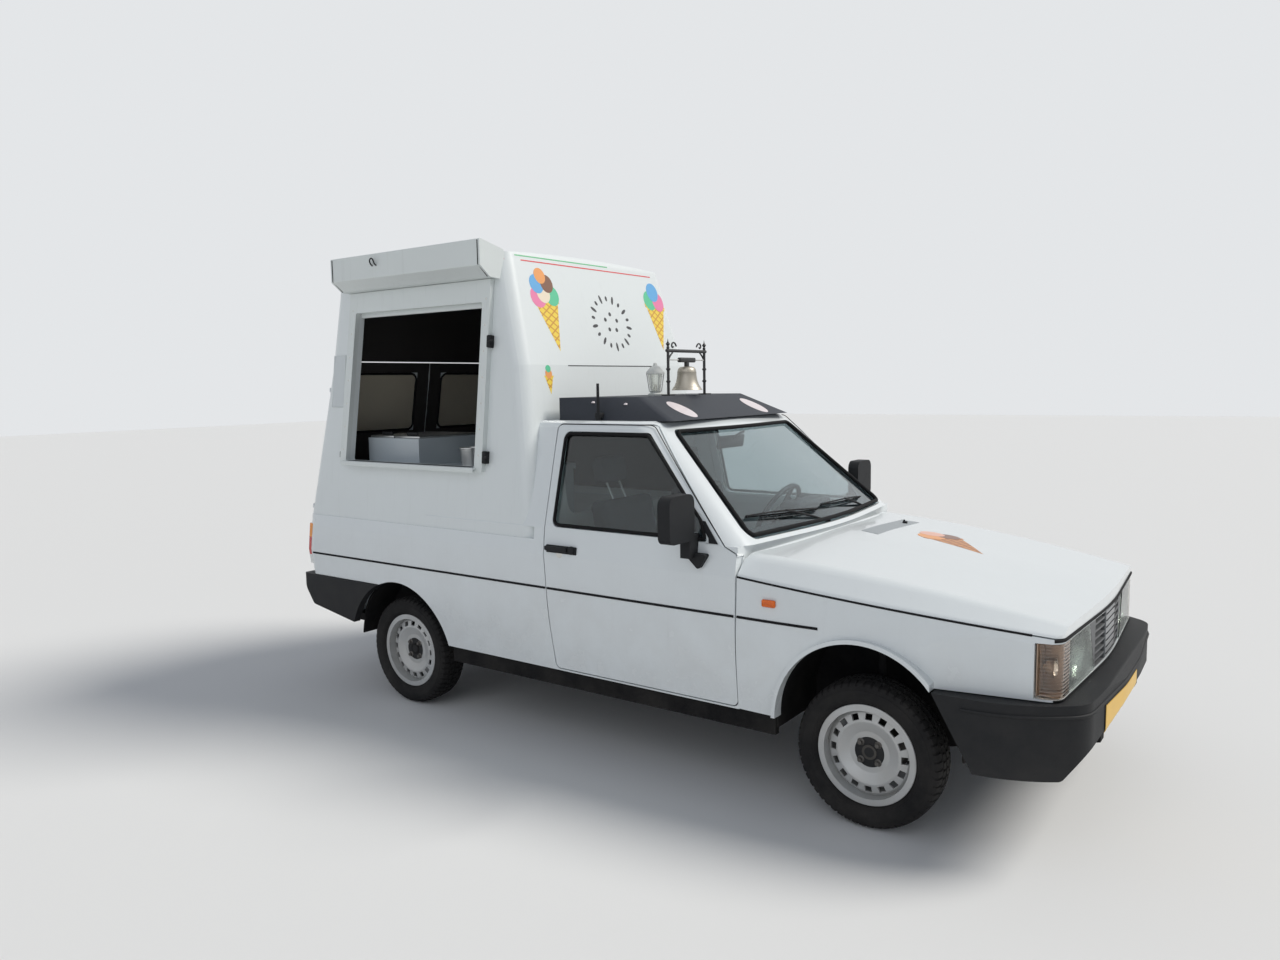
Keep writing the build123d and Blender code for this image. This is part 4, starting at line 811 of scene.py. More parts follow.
class VAN_OT_lamps(bpy.types.Operator):
    """Build the headlamps and front indicators with reflectors behind clear lenses"""

    bl_idname = "van.lamps"
    bl_label = "Front lamps"

    def lens(self, node, inner, outer, side, thickness):
        """Front of a lamp between an inner edge, low and top, and an upright outer edge."""
        bm = bmesh.new()
        bmesh.ops.create_grid(bm, x_segments=18, y_segments=8, size=0.5)
        for vert in bm.verts:
            share = vert.co.y + 0.5
            start = inner[0] + (inner[1] - inner[0]) * share
            y = start + (outer - start) * (vert.co.x + 0.5)
            x = on_front(node, side * y, LAMP_LOW + 0.004).x + 0.002
            vert.co = Vector((x, side * y, LAMP_LOW + 0.002 + (LAMP_TOP - LAMP_LOW - 0.004) * share))
        bmesh.ops.recalc_face_normals(bm, faces=bm.faces)
        bmesh.ops.solidify(bm, geom=bm.faces[:], thickness=thickness)
        return bm

    def plates(self, material, rows):
        """Thin walls of a lamp's inside, from rows (size, centre)."""
        return made_of(material, *(cuboid(size, centre, 0.001) for size, centre in rows))

    def headlamp(self, side, label, rear_x):
        glass = clear("Headlamp lens", (0.84, 0.93, 0.87), 0.06, flutes="Y")
        silver = finish("Reflector", (0.78, 0.78, 0.75), rough=0.16, metal=1.0, tone=0.1)
        housing = finish("Lamp housing", (0.42, 0.43, 0.40), rough=0.35, metal=0.5, tone=0.3, grain=0.3)
        height = LAMP_TOP - LAMP_LOW - 0.008
        middle = side * 0.450
        lens = self.lens("headlamps", (0.254, 0.337), 0.588, side, 0.004)
        bowl = spun([(0.012, -0.060), (0.035, -0.056), (0.062, -0.038), (0.080, -0.010), (0.086, 0.004),
                     (0.088, 0.004), (0.083, -0.012), (0.064, -0.042), (0.012, -0.065), (0.012, -0.060)],
                    (rear_x + 0.068, middle, LAMP_Z), ALONG_X)
        back = cuboid((0.006, 0.290, height), (rear_x + 0.008, side * 0.440, LAMP_Z), 0.002)
        bulb = spun([(0, 0.030), (0.007, 0.027), (0.009, 0.018), (0.007, 0.004), (0.012, 0.0),
                     (0.012, -0.02), (0, -0.02)], (rear_x + 0.024, middle, LAMP_Z), ALONG_X, 20)
        lean = Matrix.Rotation(-side * math.atan2(0.083, LAMP_TOP - LAMP_LOW), 4, "X")
        inner = cuboid((0.085, 0.004, 0.200), (rear_x + 0.050, side * 0.298, LAMP_Z), 0.001, lean)
        parts = [(lens, glass), (bowl, silver), (back, housing), (bulb, bright_metal()), (inner, housing)]
        parts += self.plates(silver, [((0.084, 0.004, height), (rear_x + 0.044, side * 0.587, LAMP_Z))])
        parts += self.plates(housing, [
            ((0.084, 0.245, 0.003), (rear_x + 0.044, side * 0.465, LAMP_TOP - 0.005)),
            ((0.084, 0.330, 0.003), (rear_x + 0.044, side * 0.422, LAMP_LOW + 0.005))])
        piece(f"headlamp_{label}", parts, "body", ["headlamps"])

    def indicator(self, side, label, rear_x):
        glass = clear("Indicator lens", (0.88, 0.80, 0.72), 0.08, flutes="Z")
        silver = finishes["Reflector"]
        brown = finish("Indicator housing", (0.40, 0.30, 0.23), rough=0.3, metal=0.5, tone=0.3, grain=0.3)
        height = LAMP_TOP - LAMP_LOW - 0.008
        middle = side * 0.638
        lens = self.lens("indicators", (0.593, 0.593), 0.706, side, 0.003)
        cup = spun([(0.008, -0.036), (0.028, -0.022), (0.036, 0.0), (0.038, 0.0), (0.010, -0.040),
                    (0.008, -0.036)], (rear_x + 0.054, middle, LAMP_Z), ALONG_X, 28)
        bulb = spun([(0, 0.024), (0.009, 0.020), (0.011, 0.010), (0.006, 0.0), (0, 0.0)],
                    (rear_x + 0.020, middle, LAMP_Z), ALONG_X, 18)
        orange = finish("Orange bulb", (0.85, 0.32, 0.06), rough=0.25, coat=0.5)
        parts = [(lens, glass), (cup, silver), (bulb, orange)]
        parts += self.plates(brown, [
            ((0.004, 0.106, height), (rear_x + 0.006, side * 0.646, LAMP_Z)),
            ((0.082, 0.003, height), (rear_x + 0.043, side * 0.594, LAMP_Z)),
            ((0.070, 0.086, 0.003), (rear_x + 0.040, middle, LAMP_TOP - 0.005)),
            ((0.070, 0.086, 0.003), (rear_x + 0.040, middle, LAMP_LOW + 0.005))])
        piece(f"indicator_{label}", parts, "body", ["indicators"])

    def execute(self, context):
        rear_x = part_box("headlamps")[0].x
        for side, label in SIDES:
            self.headlamp(side, label, rear_x)
            self.indicator(side, label, rear_x)
        return {"FINISHED"}


class VAN_OT_nose(bpy.types.Operator):
    """Add the grille bar, the plates, the nose's lines, the bonnet's patch and jet, and the cowl seal"""

    bl_idname = "van.nose"
    bl_label = "Nose fittings"

    def grille_bar(self):
        grey = finish("Grille bar", (0.30, 0.31, 0.32), rough=0.35, metal=0.3, tone=0.15)
        bar = slab(box_outline(-0.088, 0.088, 0.617, 0.797), 0.004, turn=FRONT_VIEW, cuts=4)
        parts = [(drape(bar, ["grille"], (-1, 0, 0)), grey)]
        for i in range(7):
            place = on_front("grille", 0, 0.630 + i * 0.0257)
            parts.append((cuboid((0.004, 0.168, 0.003), place + Vector((0.004, 0, 0)), 0.001), rubber()))
        piece("grille_bar", parts, "body")

    def plates(self, colour):
        """Blank yellow plates, on the front bumper and on the left rear door."""
        yellow = finish("Plate yellow", colour, rough=0.3, tone=0.1, dust=0.25, grain=0.1)
        parts = []
        for grow, thickness, material in ((0.005, 0.003, black_trim()), (0.0, 0.0045, yellow)):
            half_y, half_z = 0.255 + grow, 0.050 + grow
            sheet = slab(box_outline(-half_y, half_y, -half_z, half_z), thickness, cuts=10)
            placed(sheet, (0, -0.195, 0.495), FRONT_VIEW)
            parts.append((drape(sheet, ["front_bumper"], (-1, 0, 0)), material))
        piece("plate_front", parts, "body")
        face, below = (hit("rear_door_left", (-3, 0.330, level), (1, 0, 0)) for level in (0.880, 0.840))
        lean = Matrix.Rotation(math.atan2(face.x - below.x, 0.04), 4, "Y")
        back = cuboid((0.004, 0.520, 0.110), face + Vector((-0.001, 0, 0)), 0.0015, lean)
        front = cuboid((0.003, 0.510, 0.100), face + Vector((-0.0026, 0, 0)), 0.001, lean)
        piece("plate_rear", [(back, black_trim()), (front, yellow)], "back_door_left")

    def execute(self, context):
        self.grille_bar()
        self.plates(context.scene.van_colours.plate)
        lines = [(tube(round_nose("front_bumper", 0.560, 65), 0.0065, sides=3), black_trim()),
                 (tube(round_nose("nose_panel", 0.8135, 47), 0.0060, sides=3), rubber()),
                 (tube(round_nose("nose_panel", 0.6075, 47), 0.0036, sides=3), rubber())]
        piece("nose_lines", lines, "body")
        patch = slab([(-0.043, -0.25), (0.043, -0.27), (0.043, 0.25), (-0.043, 0.25)], 0.0012, cuts=5)
        placed(patch, (1.030, 0.225, 0))
        nozzle = on_top("bonnet", 1.040, 0.372)
        block = cuboid((0.022, 0.014, 0.012), nozzle + Vector((0, 0, 0.005)), 0.003)
        jet = spun([(0, 0.010), (0.004, 0.009), (0.005, 0)], nozzle + Vector((-0.004, 0, 0.009)), steps=12)
        filler = finish("Bare filler", (0.40, 0.43, 0.45), rough=0.6, tone=0.3, grain=0.3)
        parts = [(drape(patch, ["bonnet"], (0, 0, -1)), filler)] + made_of(black_trim(), block, jet)
        piece("bonnet_patch", parts, "bonnet")
        across = [i * 0.07 for i in range(-10, 11)]
        cowl = [Vector((0.882 - 0.155 * y * y, y, 1.022 - 0.043 * y * y)) for y in across]
        piece("cowl_seal", [(tube(cowl, 0.0062), paint())], "body")
        return {"FINISHED"}


class VAN_OT_wipers(bpy.types.Operator):
    """Lay two wipers on the windscreen"""

    bl_idname = "van.wipers"
    bl_label = "Wipers"

    def execute(self, context):
        # pivot y, blade from y, to y, blade height at each end
        for name, pivot_y, y0, y1, z0, z1 in (("near", -0.045, -0.600, -0.085, 1.128, 1.104),
                                               ("far", 0.480, -0.020, 0.470, 1.116, 1.098)):
            count = 10
            blade = []
            for i in range(count + 1):
                y = y0 + (y1 - y0) * i / count
                blade.append(on_front("windscreen", y, z0 + (z1 - z0) * i / count))
            out = Vector((0.65, 0, 0.76))
            parts = [(tube([p + out * 0.006 for p in blade], 0.0035), rubber()),
                     (tube([p + out * (0.014 + 0.010 * math.sin(math.pi * i / count))
                            for i, p in enumerate(blade)], 0.0038), black_trim())]
            middle = blade[count // 2] + out * 0.026
            pivot = Vector((on_front("windscreen", pivot_y, 1.09).x + 0.024, pivot_y, 1.052))
            knee = pivot + (middle - pivot) * 0.35 + out * 0.012
            parts.append((tube([pivot, knee, middle], 0.0055, smooth=True), black_trim()))
            parts.append((spun([(0, 0.016), (0.008, 0.015), (0.013, 0.010), (0.014, -0.014), (0, -0.014)],
                               pivot, steps=20), black_trim()))
            piece(f"wiper_{name}", parts, "body")
        return {"FINISHED"}


class VAN_OT_mirrors(bpy.types.Operator):
    """Set the glass in the mirrors and hang the mirror inside the windscreen"""

    bl_idname = "van.mirrors"
    bl_label = "Mirrors"

    def outer_mirror(self, side, label, silver):
        rear_x = hit(f"mirror_{label}", (0, side * 0.91, 1.15), (1, 0, 0)).x
        pane = rounded([(0.838, 1.076, 0.02), (0.984, 1.076, 0.02), (0.984, 1.236, 0.03),
                        (0.838, 1.236, 0.03)])
        glass = slab([(side * u, v) for u, v in pane], 0.003)
        placed(glass, (rear_x - 0.003, 0, 0), FRONT_VIEW)
        edge = rounded([(0.832, 1.070, 0.024), (0.990, 1.070, 0.024), (0.990, 1.242, 0.034),
                        (0.832, 1.242, 0.034)])
        lip = tube([Vector((rear_x, side * u, v)) for u, v in edge], 0.0035, closed=True)
        piece(f"mirror_glass_{label}", [(glass, silver), (lip, black_trim())], f"cab_door_{label}")

    def execute(self, context):
        silver = finish("Mirror silver", (0.80, 0.84, 0.86), rough=0.03, metal=1.0, tone=0.03)
        for side, label in SIDES:
            self.outer_mirror(side, label, silver)
        roof = on_front("windscreen", 0.0, 1.452) + Vector((-0.016, 0, 0))
        tilt = Matrix.Rotation(math.radians(12), 4, "Y")
        shell = cuboid((0.022, 0.235, 0.062), roof + Vector((-0.075, 0.0, -0.050)), 0.009, tilt, 3)
        face = cuboid((0.003, 0.218, 0.048), roof + Vector((-0.087, 0.0, -0.0525)), 0.001, tilt)
        stem = tube([roof, roof + Vector((-0.04, 0, -0.012)), roof + Vector((-0.068, 0, -0.045))], 0.006,
                    smooth=True)
        piece("inside_mirror", [(shell, black_trim()), (face, silver), (stem, black_trim())], "body")
        return {"FINISHED"}


def hatch_wall(z):
    """Y of the box's right wall, which leans in."""
    return -(0.790 - (z - 0.985) * HATCH_LEAN)


def hatch_front(z):
    """X of the hatch's front edge."""
    return -0.680 + (z - HATCH_LOW) * 0.0227


def hatch_rear(z):
    """X of the hatch's rear edge."""
    return -1.675 + (z - HATCH_LOW) * 0.063


class VAN_OT_shutter(bpy.types.Operator):
    """Fit the shutter's end bar, the hatch's catches and ledge, the housing's hook and the blank price board"""

    bl_idname = "van.shutter"
    bl_label = "Serving hatch fittings"

    def catches(self, tilt):
        """Screws up both rails of the hatch, its catches with their pins, and its hinge blocks."""
        steel = bright_metal()
        trim = black_trim()
        parts = []
        for i in range(7):
            z = 1.36 + i * 0.125
            for x in (hatch_front(z) + 0.026, hatch_rear(z) - 0.026):
                place = Vector((x, hatch_wall(z) - 0.028, z))
                screw = spun([(0, 0.0022), (0.0035, 0.002), (0.0055, 0)], place, OUTWARD[-1], 12)
                parts.append((screw, steel))
        for x, z in ((-0.612, 1.905), (-0.617, 1.350)):
            place = Vector((x, hatch_wall(z), z))
            block = cuboid((0.026, 0.030, 0.060), place + Vector((0, -0.014, 0)), 0.004, tilt)
            pin = rod(place + Vector((0.006, -0.026, 0)), place + Vector((0.034, -0.036, 0.004)), 0.006)
            parts += made_of(trim, block, pin)
        for z in (1.33, 2.03):
            place = Vector((hatch_rear(z) - 0.060, hatch_wall(z), z))
            parts.append((cuboid((0.016, 0.020, 0.034), place + Vector((0, -0.010, 0)), 0.003, tilt), trim))
        piece("hatch_catches", parts, "body")

    def housing_trim(self):
        """Hook on the housing's face and the seams of its two end caps."""
        half = [(-0.800, 2.318), (-0.813, 2.326), (-0.818, 2.345)]
        hook = [(-1.360, y, z) for y, z in half] + [(-1.345, -0.818, 2.356)]
        hook += [(-1.330, y, z) for y, z in reversed(half)]
        parts = [(tube(hook, 0.0035, smooth=True), black_trim())]
        low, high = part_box("shutter_housing")
        for x in (low.x + 0.014, high.x - 0.014):
            seam = [(x, -0.8012, 2.374), (x, -0.8012, 2.262), (x, -0.742, 2.2115), (x, -0.700, 2.2075)]
            parts.append((tube(seam, 0.0022), rubber()))
        piece("housing_trim", parts, "body")

    def execute(self, context):
        metal = aluminium()
        tilt = Matrix.Rotation(-math.atan(HATCH_LEAN), 4, "X")
        parts = []
        for z, height in ((2.086, 0.034), (2.110, 0.018), (2.130, 0.018)):
            slat = cuboid((0.945, 0.012, height), (-1.144, hatch_wall(z) + 0.006, z), 0.004, tilt)
            parts.append((slat, metal))
        piece("shutter_end_bar", parts, "body")
        self.catches(tilt)
        wall_y = hatch_wall(HATCH_LOW)
        ledge = cuboid((1.02, 0.056, 0.010), (-1.178, wall_y - 0.022, HATCH_LOW - 0.005), 0.003)
        drip = cuboid((1.02, 0.006, 0.022), (-1.178, wall_y - 0.048, HATCH_LOW - 0.014), 0.002)
        piece("hatch_ledge", made_of(metal, ledge, drip), "body")
        self.housing_trim()
        edge = box_outline(-1.844, -1.736, 1.590, 1.872)
        board = slab(edge, 0.003, turn=RIGHT_VIEW, cuts=2)
        rim = tube([on_side("box_side_right", x, z, -1) + Vector((0, -0.003, 0)) for x, z in edge], 0.003,
                   closed=True)
        pale = finish("Board", (0.62, 0.66, 0.67), rough=0.35, coat=0.4, tone=0.1, streaks=0.15)
        piece("price_board", [(drape(board, ["box_side_right"], (0, 1, 0)), pale), (rim, metal)], "body")
        return {"FINISHED"}


def cone_decal(place, height, lean, view_turn, scoops, wafer, thickness):
    """Printed ice cream cone: a wafer triangle and round scoops, standing in the XY plane."""
    turn = Matrix.Rotation(math.radians(lean), 4, "Z")
    width = height * 0.25
    rim = height * 0.045
    cone = [(-width * 0.86, 0), (0, -height * 0.62), (width * 0.86, 0), (width * 0.4, rim),
            (-width * 0.4, rim)]
    band = [(-width * 0.98, height * 0.02), (-width * 0.9, -height * 0.035),
            (width * 0.9, -height * 0.035), (width * 0.98, height * 0.02)]
    shapes = [(cone, 1.0, wafer), (band, 1.3, wafer)]
    for i, (u, v, radius, material) in enumerate(scoops):
        ball = oval(radius * height, radius * height, 20, (u * height, v * height))
        shapes.append((ball, 1.6 + 0.3 * i, material))
    parts = []
    for points, layer, material in shapes:
        bm = slab(points, thickness * layer, cuts=2)
        placed(bm, (*place, 0), turn)
        parts.append((placed(bm, turn=view_turn), material))
    return parts


class VAN_OT_decals(bpy.types.Operator):
    """Print cones, lines and a plain ring of sprinkles on the box, the bonnet and the deflector"""

    bl_idname = "van.decals"
    bl_label = "Decals"

    def box_cones(self, inks, foil):
        wafer = finish("Ink wafer", (0.90, 0.66, 0.06), rough=0.4, coat=0.3, tone=0.2,
                       pattern=waffle_pattern((0.62, 0.30, 0.03), 34.0, "YZ"))
        bunch = [(-0.13, 0.06, 0.135, inks["pink"]), (0.13, 0.07, 0.13, inks["green"]),
                 (-0.02, 0.10, 0.12, inks["cream"]), (-0.10, 0.22, 0.12, inks["blue"]),
                 (0.09, 0.22, 0.115, inks["brown"]), (0.0, 0.32, 0.10, inks["orange"])]
        pair = [(-0.10, 0.08, 0.14, inks["green"]), (0.10, 0.08, 0.135, inks["pink"]),
                (0.0, 0.21, 0.135, inks["blue"])]
        small = [(0.0, 0.09, 0.17, inks["orange"]), (0.0, 0.26, 0.13, inks["green"])]
        for name, place, height, lean, scoops in (("near", (-0.425, 2.105), 0.400, 4, bunch),
                                                  ("far", (0.520, 2.130), 0.400, -4, pair),
                                                  ("small", (-0.530, 1.735), 0.140, 0, small)):
            parts = cone_decal(place, height, lean, FRONT_VIEW, scoops, wafer, foil)
            for bm, _ in parts:
                drape(bm, ["box_front"], (-1, 0, 0))
            piece(f"cone_{name}", parts, "body")

    def bonnet_cone(self, inks, foil):
        wafer = finish("Ink brown wafer", (0.62, 0.26, 0.07), rough=0.45, coat=0.3, tone=0.3,
                       pattern=waffle_pattern((0.33, 0.11, 0.03), 30.0, "XY"))
        topping = [(-0.10, 0.08, 0.14, inks["orange"]), (0.11, 0.08, 0.13, inks["brown"]),
                   (0.0, 0.20, 0.13, inks["peach"])]
        turn = Matrix.Rotation(math.radians(55), 4, "Z")
        parts = cone_decal((0, 0), 0.42, 0, turn, topping, wafer, foil)
        for bm, _ in parts:
            placed(bm, (1.300, 0.150, 0))
            drape(bm, ["bonnet"], (0, 0, -1))
        piece("cone_bonnet", parts, "bonnet")

    def sprinkle_ring(self, foil):
        """Dashes in one ring and dots in another, on the box front."""
        black = finish("Ink black", (0.03, 0.03, 0.035), rough=0.45, coat=0.2, tone=0.3)
        marks = []
        for i in range(18):
            angle = 2 * math.pi * i / 18
            dash = slab(oval(0.0085, 0.024 if i % 2 else 0.014, 12), foil)
            placed(dash, turn=Matrix.Rotation(angle, 4, "Z"))
            marks.append(placed(dash, (0.07 - 0.150 * math.sin(angle), 2.02 + 0.130 * math.cos(angle), 0)))
        for i in range(5):
            angle = 2 * math.pi * i / 5 + 0.3
            dot = slab(oval(0.011, 0.011, 14), foil)
            marks.append(placed(dot, (0.07 + 0.052 * math.cos(angle), 2.02 + 0.046 * math.sin(angle), 0)))
        for mark in marks:
            drape(placed(mark, turn=FRONT_VIEW), ["box_front"], (-1, 0, 0))
        piece("sprinkle_ring", made_of(black, *marks), "body")

    def lines(self, foil):
        for name, low_z, tint, start, end in (("green", 2.320, (0.16, 0.55, 0.26), -0.640, 0.150),
                                              ("red", 2.298, (0.72, 0.06, 0.07), -0.640, 0.640)):
            corners = [(start, low_z), (end, low_z + 0.004), (end, low_z + 0.010), (start, low_z + 0.006)]
            line = drape(slab(corners, foil, turn=FRONT_VIEW, cuts=12), ["box_front", "box_roof"], (-1, 0, 0))
            ink = finish(f"Line {name}", tint, rough=0.4, tone=0.3)
            piece(f"line_{name}", [(line, ink)], "body")

    def crease(self):
        # a dark tube along the box front's crease, as painted shade in it
        edge = [on_front("box_front", -0.375 + i * 0.072, 1.787) for i in range(11)]
        piece("box_crease_shade", [(tube(edge, 0.0022), rubber())], "body")

    def deflector(self, foil):
        """Blank stickers and the caps of two screws on the roof deflector."""
        sticker = finish("Sticker", (0.80, 0.72, 0.73), rough=0.4, coat=0.3, tone=0.15)
        for name, y in (("near", -0.330), ("far", 0.350)):
            patch = placed(slab(oval(0.078, 0.058), foil * 2), (0.230, y, 0))
            drape(patch, ["roof_deflector"], (0, 0, -1))
            piece(f"sticker_{name}", [(patch, sticker)], "body")
        caps = [spun([(0, 0.006), (0.007, 0.004), (0.010, -0.003)], on_top("roof_deflector", x, y), steps=20)
                for x, y in ((-0.136, -0.530), (0.039, -0.510))]
        piece("deflector_caps", made_of(sticker, *caps), "body")

    def execute(self, context):
        foil = context.scene.van_sizes.decal
        tints = {
            "pink": (0.86, 0.22, 0.42), "blue": (0.12, 0.42, 0.78), "green": (0.10, 0.58, 0.32),
            "cream": (0.90, 0.78, 0.60), "brown": (0.20, 0.08, 0.04), "orange": (0.88, 0.36, 0.10),
            "peach": (0.88, 0.48, 0.36)}
        inks = {name: finish(f"Ink {name}", tint, rough=0.4, coat=0.3, tone=0.25)
                for name, tint in tints.items()}
        self.box_cones(inks, foil)
        self.sprinkle_ring(foil)
        self.lines(foil)
        self.bonnet_cone(inks, foil)
        self.deflector(foil)
        self.crease()
        return {"FINISHED"}


class VAN_OT_bell(bpy.types.Operator):
    """Turn the bell with its clapper, ornament the stand, and set the lantern and the aerial"""

    bl_idname = "van.bell"
    bl_label = "Bell, lantern and aerial"

    def bell(self, mouth=1.656, axis_z=1.806):
        metal = finish("Bell metal", (0.42, 0.39, 0.34), rough=0.36, metal=0.9, tone=0.5, streaks=0.2,
                       grain=0.3, grain_scale=90.0)
        x = STAND_X
        rows = [(0, 0.118), (0.018, 0.1178), (0.036, 0.114), (0.0445, 0.105), (0.0465, 0.094), (0.047, 0.092),
                (0.0485, 0.091), (0.0485, 0.088), (0.048, 0.086), (0.049, 0.070), (0.053, 0.048),
                (0.060, 0.028), (0.0655, 0.018), (0.067, 0.0175), (0.068, 0.0150), (0.0725, 0.008),
                (0.0778, 0.001), (0.0772, 0), (0.0705, 0.002), (0.0640, 0.012), (0.0540, 0.030),
                (0.0470, 0.052), (0.0435, 0.078), (0.0405, 0.100), (0.030, 0.109), (0, 0.111)]
        bowl = spun(rows, (x, 0, mouth), steps=56)
        strap = cuboid((0.018, 0.024, 0.036), (x, 0, mouth + 0.132), 0.004)
        yoke = cuboid((0.022, 0.140, 0.024), (x, 0, axis_z), 0.006, segments=3)
        shaft = rod((x, -STAND_Y, axis_z), (x, STAND_Y, axis_z), 0.003)
        clapper = rod((x, 0, mouth + 0.110), (x, 0, mouth + 0.034), 0.0035)
        rows = [(0, 0.013), (0.007, 0.011), (0.012, 0.004), (0.012, -0.004), (0.007, -0.011), (0, -0.013)]
        ball = spun(rows, (x, 0, mouth + 0.024), steps=20)
        parts = [(bowl, metal), (strap, stand_paint()), (yoke, stand_paint()), (shaft, bright_metal())]
        piece("bell_turned", parts + made_of(stand_paint(), clapper, ball), "bell", ["bell"])

    def ornament(self):
        """Finials, scrolls, braces and rings on the two posts of the stand."""
        x = STAND_X
        meshes = []
        for side in (-1, 1):
            post_y = side * STAND_Y
            finial = [(0, 0.046), (0.003, 0.030), (0.011, 0.018), (0.003, 0.006), (0.008, 0.002), (0.008, 0)]
            meshes.append(spun(finial, (x, post_y, 1.864), steps=16))
            scroll = []
            for k in range(15):
                angle = k * 0.45
                reach = 0.030 * math.exp(-0.16 * k)
                scroll.append((x, side * (0.122 - reach * math.cos(angle)), 1.872 + reach * math.sin(angle)))
            meshes.append(tube(scroll, 0.004, smooth=True))
            brace = [(x, post_y, 1.800), (x, side * 0.150, 1.826), (x, side * 0.124, 1.842)]
            meshes.append(tube(brace, 0.004, smooth=True))
            ring = [(0.007, 0.006), (0.011, 0.003), (0.011, -0.003), (0.007, -0.006)]
            meshes += [spun(ring, (x, post_y, z), steps=16) for z in (1.700, 1.760)]
        piece("stand_ornament", made_of(stand_paint(), *meshes), "body")

    def lantern(self):
        centre = Vector((-0.045, -0.150, 1.631))
        frost = clear("Lantern glass", (0.95, 0.96, 0.93), 0.25)
        white = finish("Lantern paint", (0.62, 0.64, 0.62), rough=0.45, tone=0.25, streaks=0.2)
        foot = spun([(0, 0.0), (0.039, 0.0), (0.041, 0.008), (0.028, 0.016), (0.034, 0.024), (0, 0.024)],
                    centre, steps=6)
        hood = spun([(0.052, 0.108), (0.050, 0.116), (0.026, 0.142), (0.012, 0.148), (0.009, 0.160),
                     (0, 0.164), (0, 0.108)], centre, steps=6)
        panes = spun([(0.027, 0.024), (0.041, 0.108), (0.039, 0.108), (0.025, 0.024)], centre, steps=6)
        bars = []
        for angle in range(30, 390, 60):
            u, v = math.cos(math.radians(angle)), math.sin(math.radians(angle))
            bars.append(rod(centre + Vector((u * 0.030, v * 0.030, 0.022)),
                            centre + Vector((u * 0.043, v * 0.043, 0.110)), 0.0025, 8))
        bulb = spun([(0, 0.060), (0.006, 0.056), (0.008, 0.030), (0.008, 0.022), (0, 0.022)], centre,
                    steps=16)
        parts = made_of(white, foot, hood) + [(panes, frost)] + made_of(white, *bars)
        piece("lantern", parts + [(bulb, bright_metal())], "body")

    def execute(self, context):
        self.bell()
        self.ornament()
        self.lantern()
        foot = Vector((-0.072, -0.575, 1.528))
        mast = rod(foot, foot + Vector((0, 0, 0.168)), 0.0075, 16, 0.0065)
        block = cuboid((0.030, 0.036, 0.026), foot + Vector((0, 0.010, 0.020)), 0.004)
        socket = rod(foot + Vector((0, 0, -0.012)), foot + Vector((0, 0, 0.034)), 0.0125)
        piece("aerial_stub", made_of(black_trim(), mast, block, socket), "body")
        return {"FINISHED"}


class VAN_OT_rear(bpy.types.Operator):
    """Fit the handle and its lock to a rear door, and the bars across the tail lamps"""

    bl_idname = "van.rear"
    bl_label = "Rear fittings"

    def execute(self, context):
        place = hit("rear_door_left", (-4, 0.060, 1.080), (1, 0, 0))
        plate = cuboid((0.020, 0.052, 0.120), place + Vector((-0.006, 0, 0)), 0.005, segments=3)
        lock = spun([(0, 0.010), (0.009, 0.009), (0.011, 0)], place + Vector((-0.016, 0, 0.030)),
                    ALONG_MINUS_X, 20)
        grip = cuboid((0.014, 0.040, 0.026), place + Vector((-0.020, 0, -0.022)), 0.005, segments=3)
        parts = [(plate, black_trim()), (lock, bright_metal()), (grip, black_trim())]
        piece("rear_handle", parts, "back_door_left")
        for side, label in SIDES:
            parts = []
            for z in (0.75, 0.85):
                run = [seen("tail_lamps", (-4, side * (0.752 + i * 0.005), z), (1, 0, 0)) for i in range(10)]
                parts.append((tube([place for place in run if place], 0.0016), rubber()))
            piece(f"tail_lamp_bars_{label}", parts, "body")
        return {"FINISHED"}


